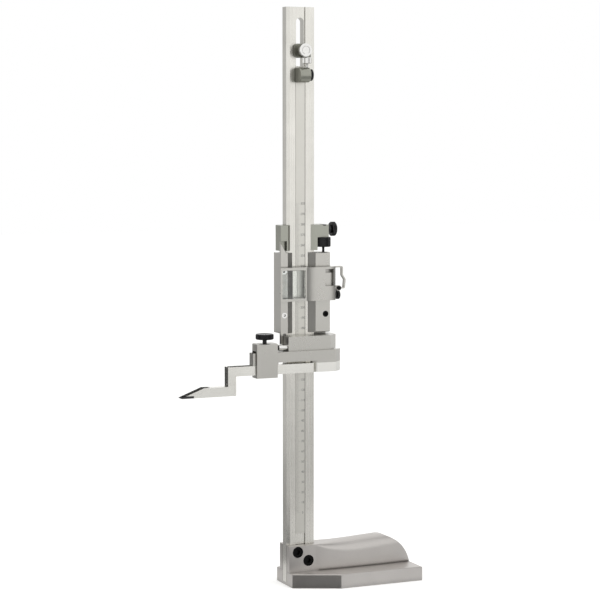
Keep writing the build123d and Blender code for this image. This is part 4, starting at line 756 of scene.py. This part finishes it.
class GAUGE_OT_set_studio(GaugeOperator, bpy.types.Operator):
    """Make the camera, the floor, the soft light and the cards that the metal mirrors"""
    bl_idname = "gauge.set_studio"
    bl_label = "Studio"

    def execute(self, context):
        studio, tones = context.scene.gauge_studio, context.scene.gauge_colours
        self.camera(context, studio)
        self.floor(tones)
        self.wall("card_camera_side", heading=-24, half=18, distance=0.7, tone=0.24)
        self.wall("card_right", heading=80, half=22, distance=0.7, tone=0.15)
        self.wall("card_back_left", heading=-150, half=34, distance=0.9, tone=0.5)
        self.disc("floor_near", far=0.35, tone=0.72)
        self.ring("floor_middle", near=0.35, far=1.6, tone=0.45)
        self.ring("floor_far", near=1.6, far=6.0, tone=0.97)
        wedge = [(0.0285, -0.0386), (0.055, -0.3), (-0.25, -0.3), (-0.22, -0.02), (-0.0145, -0.0191)]
        self.card("floor_camera_side", [(*corner, HIGH_CARD) for corner in wedge], tone=0.11)
        self.sector("floor_back_left", heading=-150, half=34, near=0.1, far=0.9, tone=0.30)
        self.flag("flag_behind_scriber", left=-0.120, right=-0.0795, depth=0.035, low=0.19, high=0.24)
        self.flag("flag_behind_block", left=-0.062, right=-0.0205, depth=0.030, low=0.214, high=0.2425)
        self.light(context, studio)
        return {"FINISHED"}

    def camera(self, context, studio):
        """The camera stands before the left front corner and looks a little down."""
        made = bpy.data.objects.new("camera", bpy.data.cameras.new("camera"))
        context.scene.collection.objects.link(made)
        made.data.sensor_width = SENSOR_WIDTH
        made.data.lens = studio.lens
        made.data.clip_end = VIEW_END
        made.location = studio.position
        made.rotation_euler = (math.radians(90) - studio.dip, 0.0, -studio.heading)
        context.scene.camera = made

    def floor(self, tones):
        """The floor keeps the shadow, and what the camera and the metal see of it is lifted to white."""
        half = FLOOR_HALF
        mesh = bpy.data.meshes.new("floor")
        mesh.from_pydata([(-half, -half, 0), (half, -half, 0), (half, half, 0), (-half, half, 0)], [],
                         [(0, 1, 2, 3)])
        made = bpy.data.objects.new("floor", mesh)
        bpy.context.scene.collection.objects.link(made)
        made.location.z = -FLOOR_DROP
        material, tree, shader = fresh("white_floor_paper")
        grain = add(tree, "ShaderNodeTexNoise", values={"Scale": 1 / PAPER_GRAIN, "Detail": 2.0})
        gloss = add(tree, "ShaderNodeMapRange", values={"To Min": 0.8, "To Max": 0.95},
                    links={"Value": grain.outputs["Fac"]})
        tree.links.new(gloss.outputs["Result"], shader.inputs["Roughness"])
        shader.inputs["Base Color"].default_value = tones.floor
        shader.inputs["Specular IOR Level"].default_value = 0.0
        lift = add(tree, "ShaderNodeMath", {"operation": "MULTIPLY"}, {1: FLOOR_LIFT},
                   {0: seen_directly(tree)})
        tree.links.new(lift.outputs["Value"], shader.inputs["Emission Strength"])
        shader.inputs["Emission Color"].default_value = (1, 1, 1, 1)
        mesh.materials.append(material)

    def arc(self, heading, half, distance, level):
        """Points at one distance round the column, over a half width to each side of a heading."""
        steps = max(2, int(2 * half / CARD_ARC))
        turns = [math.radians(heading + half * (2 * step / steps - 1)) for step in range(steps + 1)]
        return [(distance * math.sin(turn), -distance * math.cos(turn), level) for turn in turns]

    def wall(self, name, heading, half, distance, tone):
        """An upright card that the metal sees in one direction."""
        turns = [math.radians(heading + half * side) for side in (-1, 1)]
        left, right = [(distance * math.sin(turn), -distance * math.cos(turn)) for turn in turns]
        self.card(name, [(*left, CARD_FOOT), (*right, CARD_FOOT), (*right, CARD_HEAD), (*left, CARD_HEAD)],
                  tone)

    def disc(self, name, far, tone):
        """A round card on the floor under the object."""
        self.card(name, self.arc(0, 180, far, LOW_CARD)[:-1], tone)

    def ring(self, name, near, far, tone):
        """A ring of cards on the floor round the object."""
        inner, outer = self.arc(0, 180, near, LOW_CARD), self.arc(0, 180, far, LOW_CARD)
        for step, corners in enumerate(zip(inner, inner[1:], outer[1:], outer)):
            self.card(f"{name}_{step}", corners, tone)

    def sector(self, name, heading, half, near, far, tone):
        """A part of a ring on the floor, in one direction."""
        inner, outer = (self.arc(heading, half, distance, HIGH_CARD) for distance in (near, far))
        self.card(name, inner + outer[::-1], tone)

    def flag(self, name, left, right, depth, low, high):
        """A black card behind a piece, which darkens what the metal mirrors in a narrow gap."""
        corners = [(left, depth, low), (right, depth, low), (right, depth, high), (left, depth, high)]
        self.card(name, corners, tone=0.0)

    def card(self, name, corners, tone):
        """A grey card that only the metal sees."""
        mesh = bpy.data.meshes.new(name)
        mesh.from_pydata(list(corners), [], [list(range(len(corners)))])
        made = bpy.data.objects.new(name, mesh)
        bpy.context.scene.collection.objects.link(made)
        material, tree, shader = fresh(name)
        shader.inputs["Base Color"].default_value = (0, 0, 0, 1)
        shader.inputs["Specular IOR Level"].default_value = 0.0
        shader.inputs["Emission Color"].default_value = (1, 1, 1, 1)
        shader.inputs["Emission Strength"].default_value = tone
        mesh.materials.append(material)
        made.visible_camera = False
        made.visible_diffuse = False
        made.visible_shadow = False
        made.visible_transmission = False

    def light(self, context, studio):
        """One soft lamp over the right front, and an even glow that the camera and metal see as white."""
        lamp = bpy.data.lights.new("soft_lamp", "AREA")
        lamp.shape = "RECTANGLE"
        lamp.size = LAMP_SIDE
        lamp.size_y = LAMP_SIDE
        lamp.energy = studio.lamp
        made = bpy.data.objects.new("soft_lamp", lamp)
        context.scene.collection.objects.link(made)
        made.location = LAMP_PLACE
        made.visible_glossy = False
        made.rotation_mode = "QUATERNION"
        made.rotation_quaternion = (Vector(LAMP_AIM) - made.location).to_track_quat("-Z", "Y")
        world = context.scene.world or bpy.data.worlds.new("studio")
        context.scene.world = world
        world.use_nodes = True
        tree = world.node_tree
        tree.nodes.clear()
        strength = add(tree, "ShaderNodeMapRange", values={"To Min": studio.fill, "To Max": 1.0},
                       links={"Value": seen_directly(tree)})
        glow = add(tree, "ShaderNodeBackground", values={"Color": (1, 1, 1, 1)},
                   links={"Strength": strength.outputs["Result"]})
        add(tree, "ShaderNodeOutputWorld", links={"Surface": glow.outputs["Background"]})
        context.scene.view_settings.view_transform = "Standard"


# Panel

class GAUGE_PT_finishes(bpy.types.Panel):
    """Steps of the gauge's finishes"""
    bl_label = "Height gauge"
    bl_idname = "GAUGE_PT_finishes"
    bl_space_type = "VIEW_3D"
    bl_region_type = "UI"
    bl_category = "Height gauge"

    def draw(self, context):
        for step in STEPS:
            self.layout.operator(step.bl_idname)
        for setting in GROUPS:
            group = getattr(context.scene, setting)
            box = self.layout.box()
            for name in group.bl_rna.properties.keys():
                if name not in ("rna_type", "name"):
                    box.prop(group, name)


GROUPS = {"gauge_colours": GaugeColours, "gauge_marks": GaugeMarks, "gauge_finish": GaugeFinish,
          "gauge_studio": GaugeStudio}
STEPS = [GAUGE_OT_set_studio, GAUGE_OT_dress_base, GAUGE_OT_mark_scale, GAUGE_OT_dress_scale_adjuster,
         GAUGE_OT_dress_carriage, GAUGE_OT_dress_slider, GAUGE_OT_mark_vernier, GAUGE_OT_dress_magnifier,
         GAUGE_OT_dress_jaw]


def register():
    """Registers the classes and hangs the settings on the scene."""
    for name, group in GROUPS.items():
        bpy.utils.register_class(group)
        setattr(bpy.types.Scene, name, PointerProperty(type=group))
    for step in STEPS:
        bpy.utils.register_class(step)
    bpy.utils.register_class(GAUGE_PT_finishes)


def unregister():
    """Takes the classes and the settings away again."""
    bpy.utils.unregister_class(GAUGE_PT_finishes)
    for step in reversed(STEPS):
        bpy.utils.unregister_class(step)
    for name, group in reversed(GROUPS.items()):
        delattr(bpy.types.Scene, name)
        bpy.utils.unregister_class(group)


def main():
    """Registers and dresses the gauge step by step."""
    register()
    for step in STEPS:
        area, name = step.bl_idname.split(".")
        getattr(getattr(bpy.ops, area), name)()


if __name__ == "__main__":
    main()
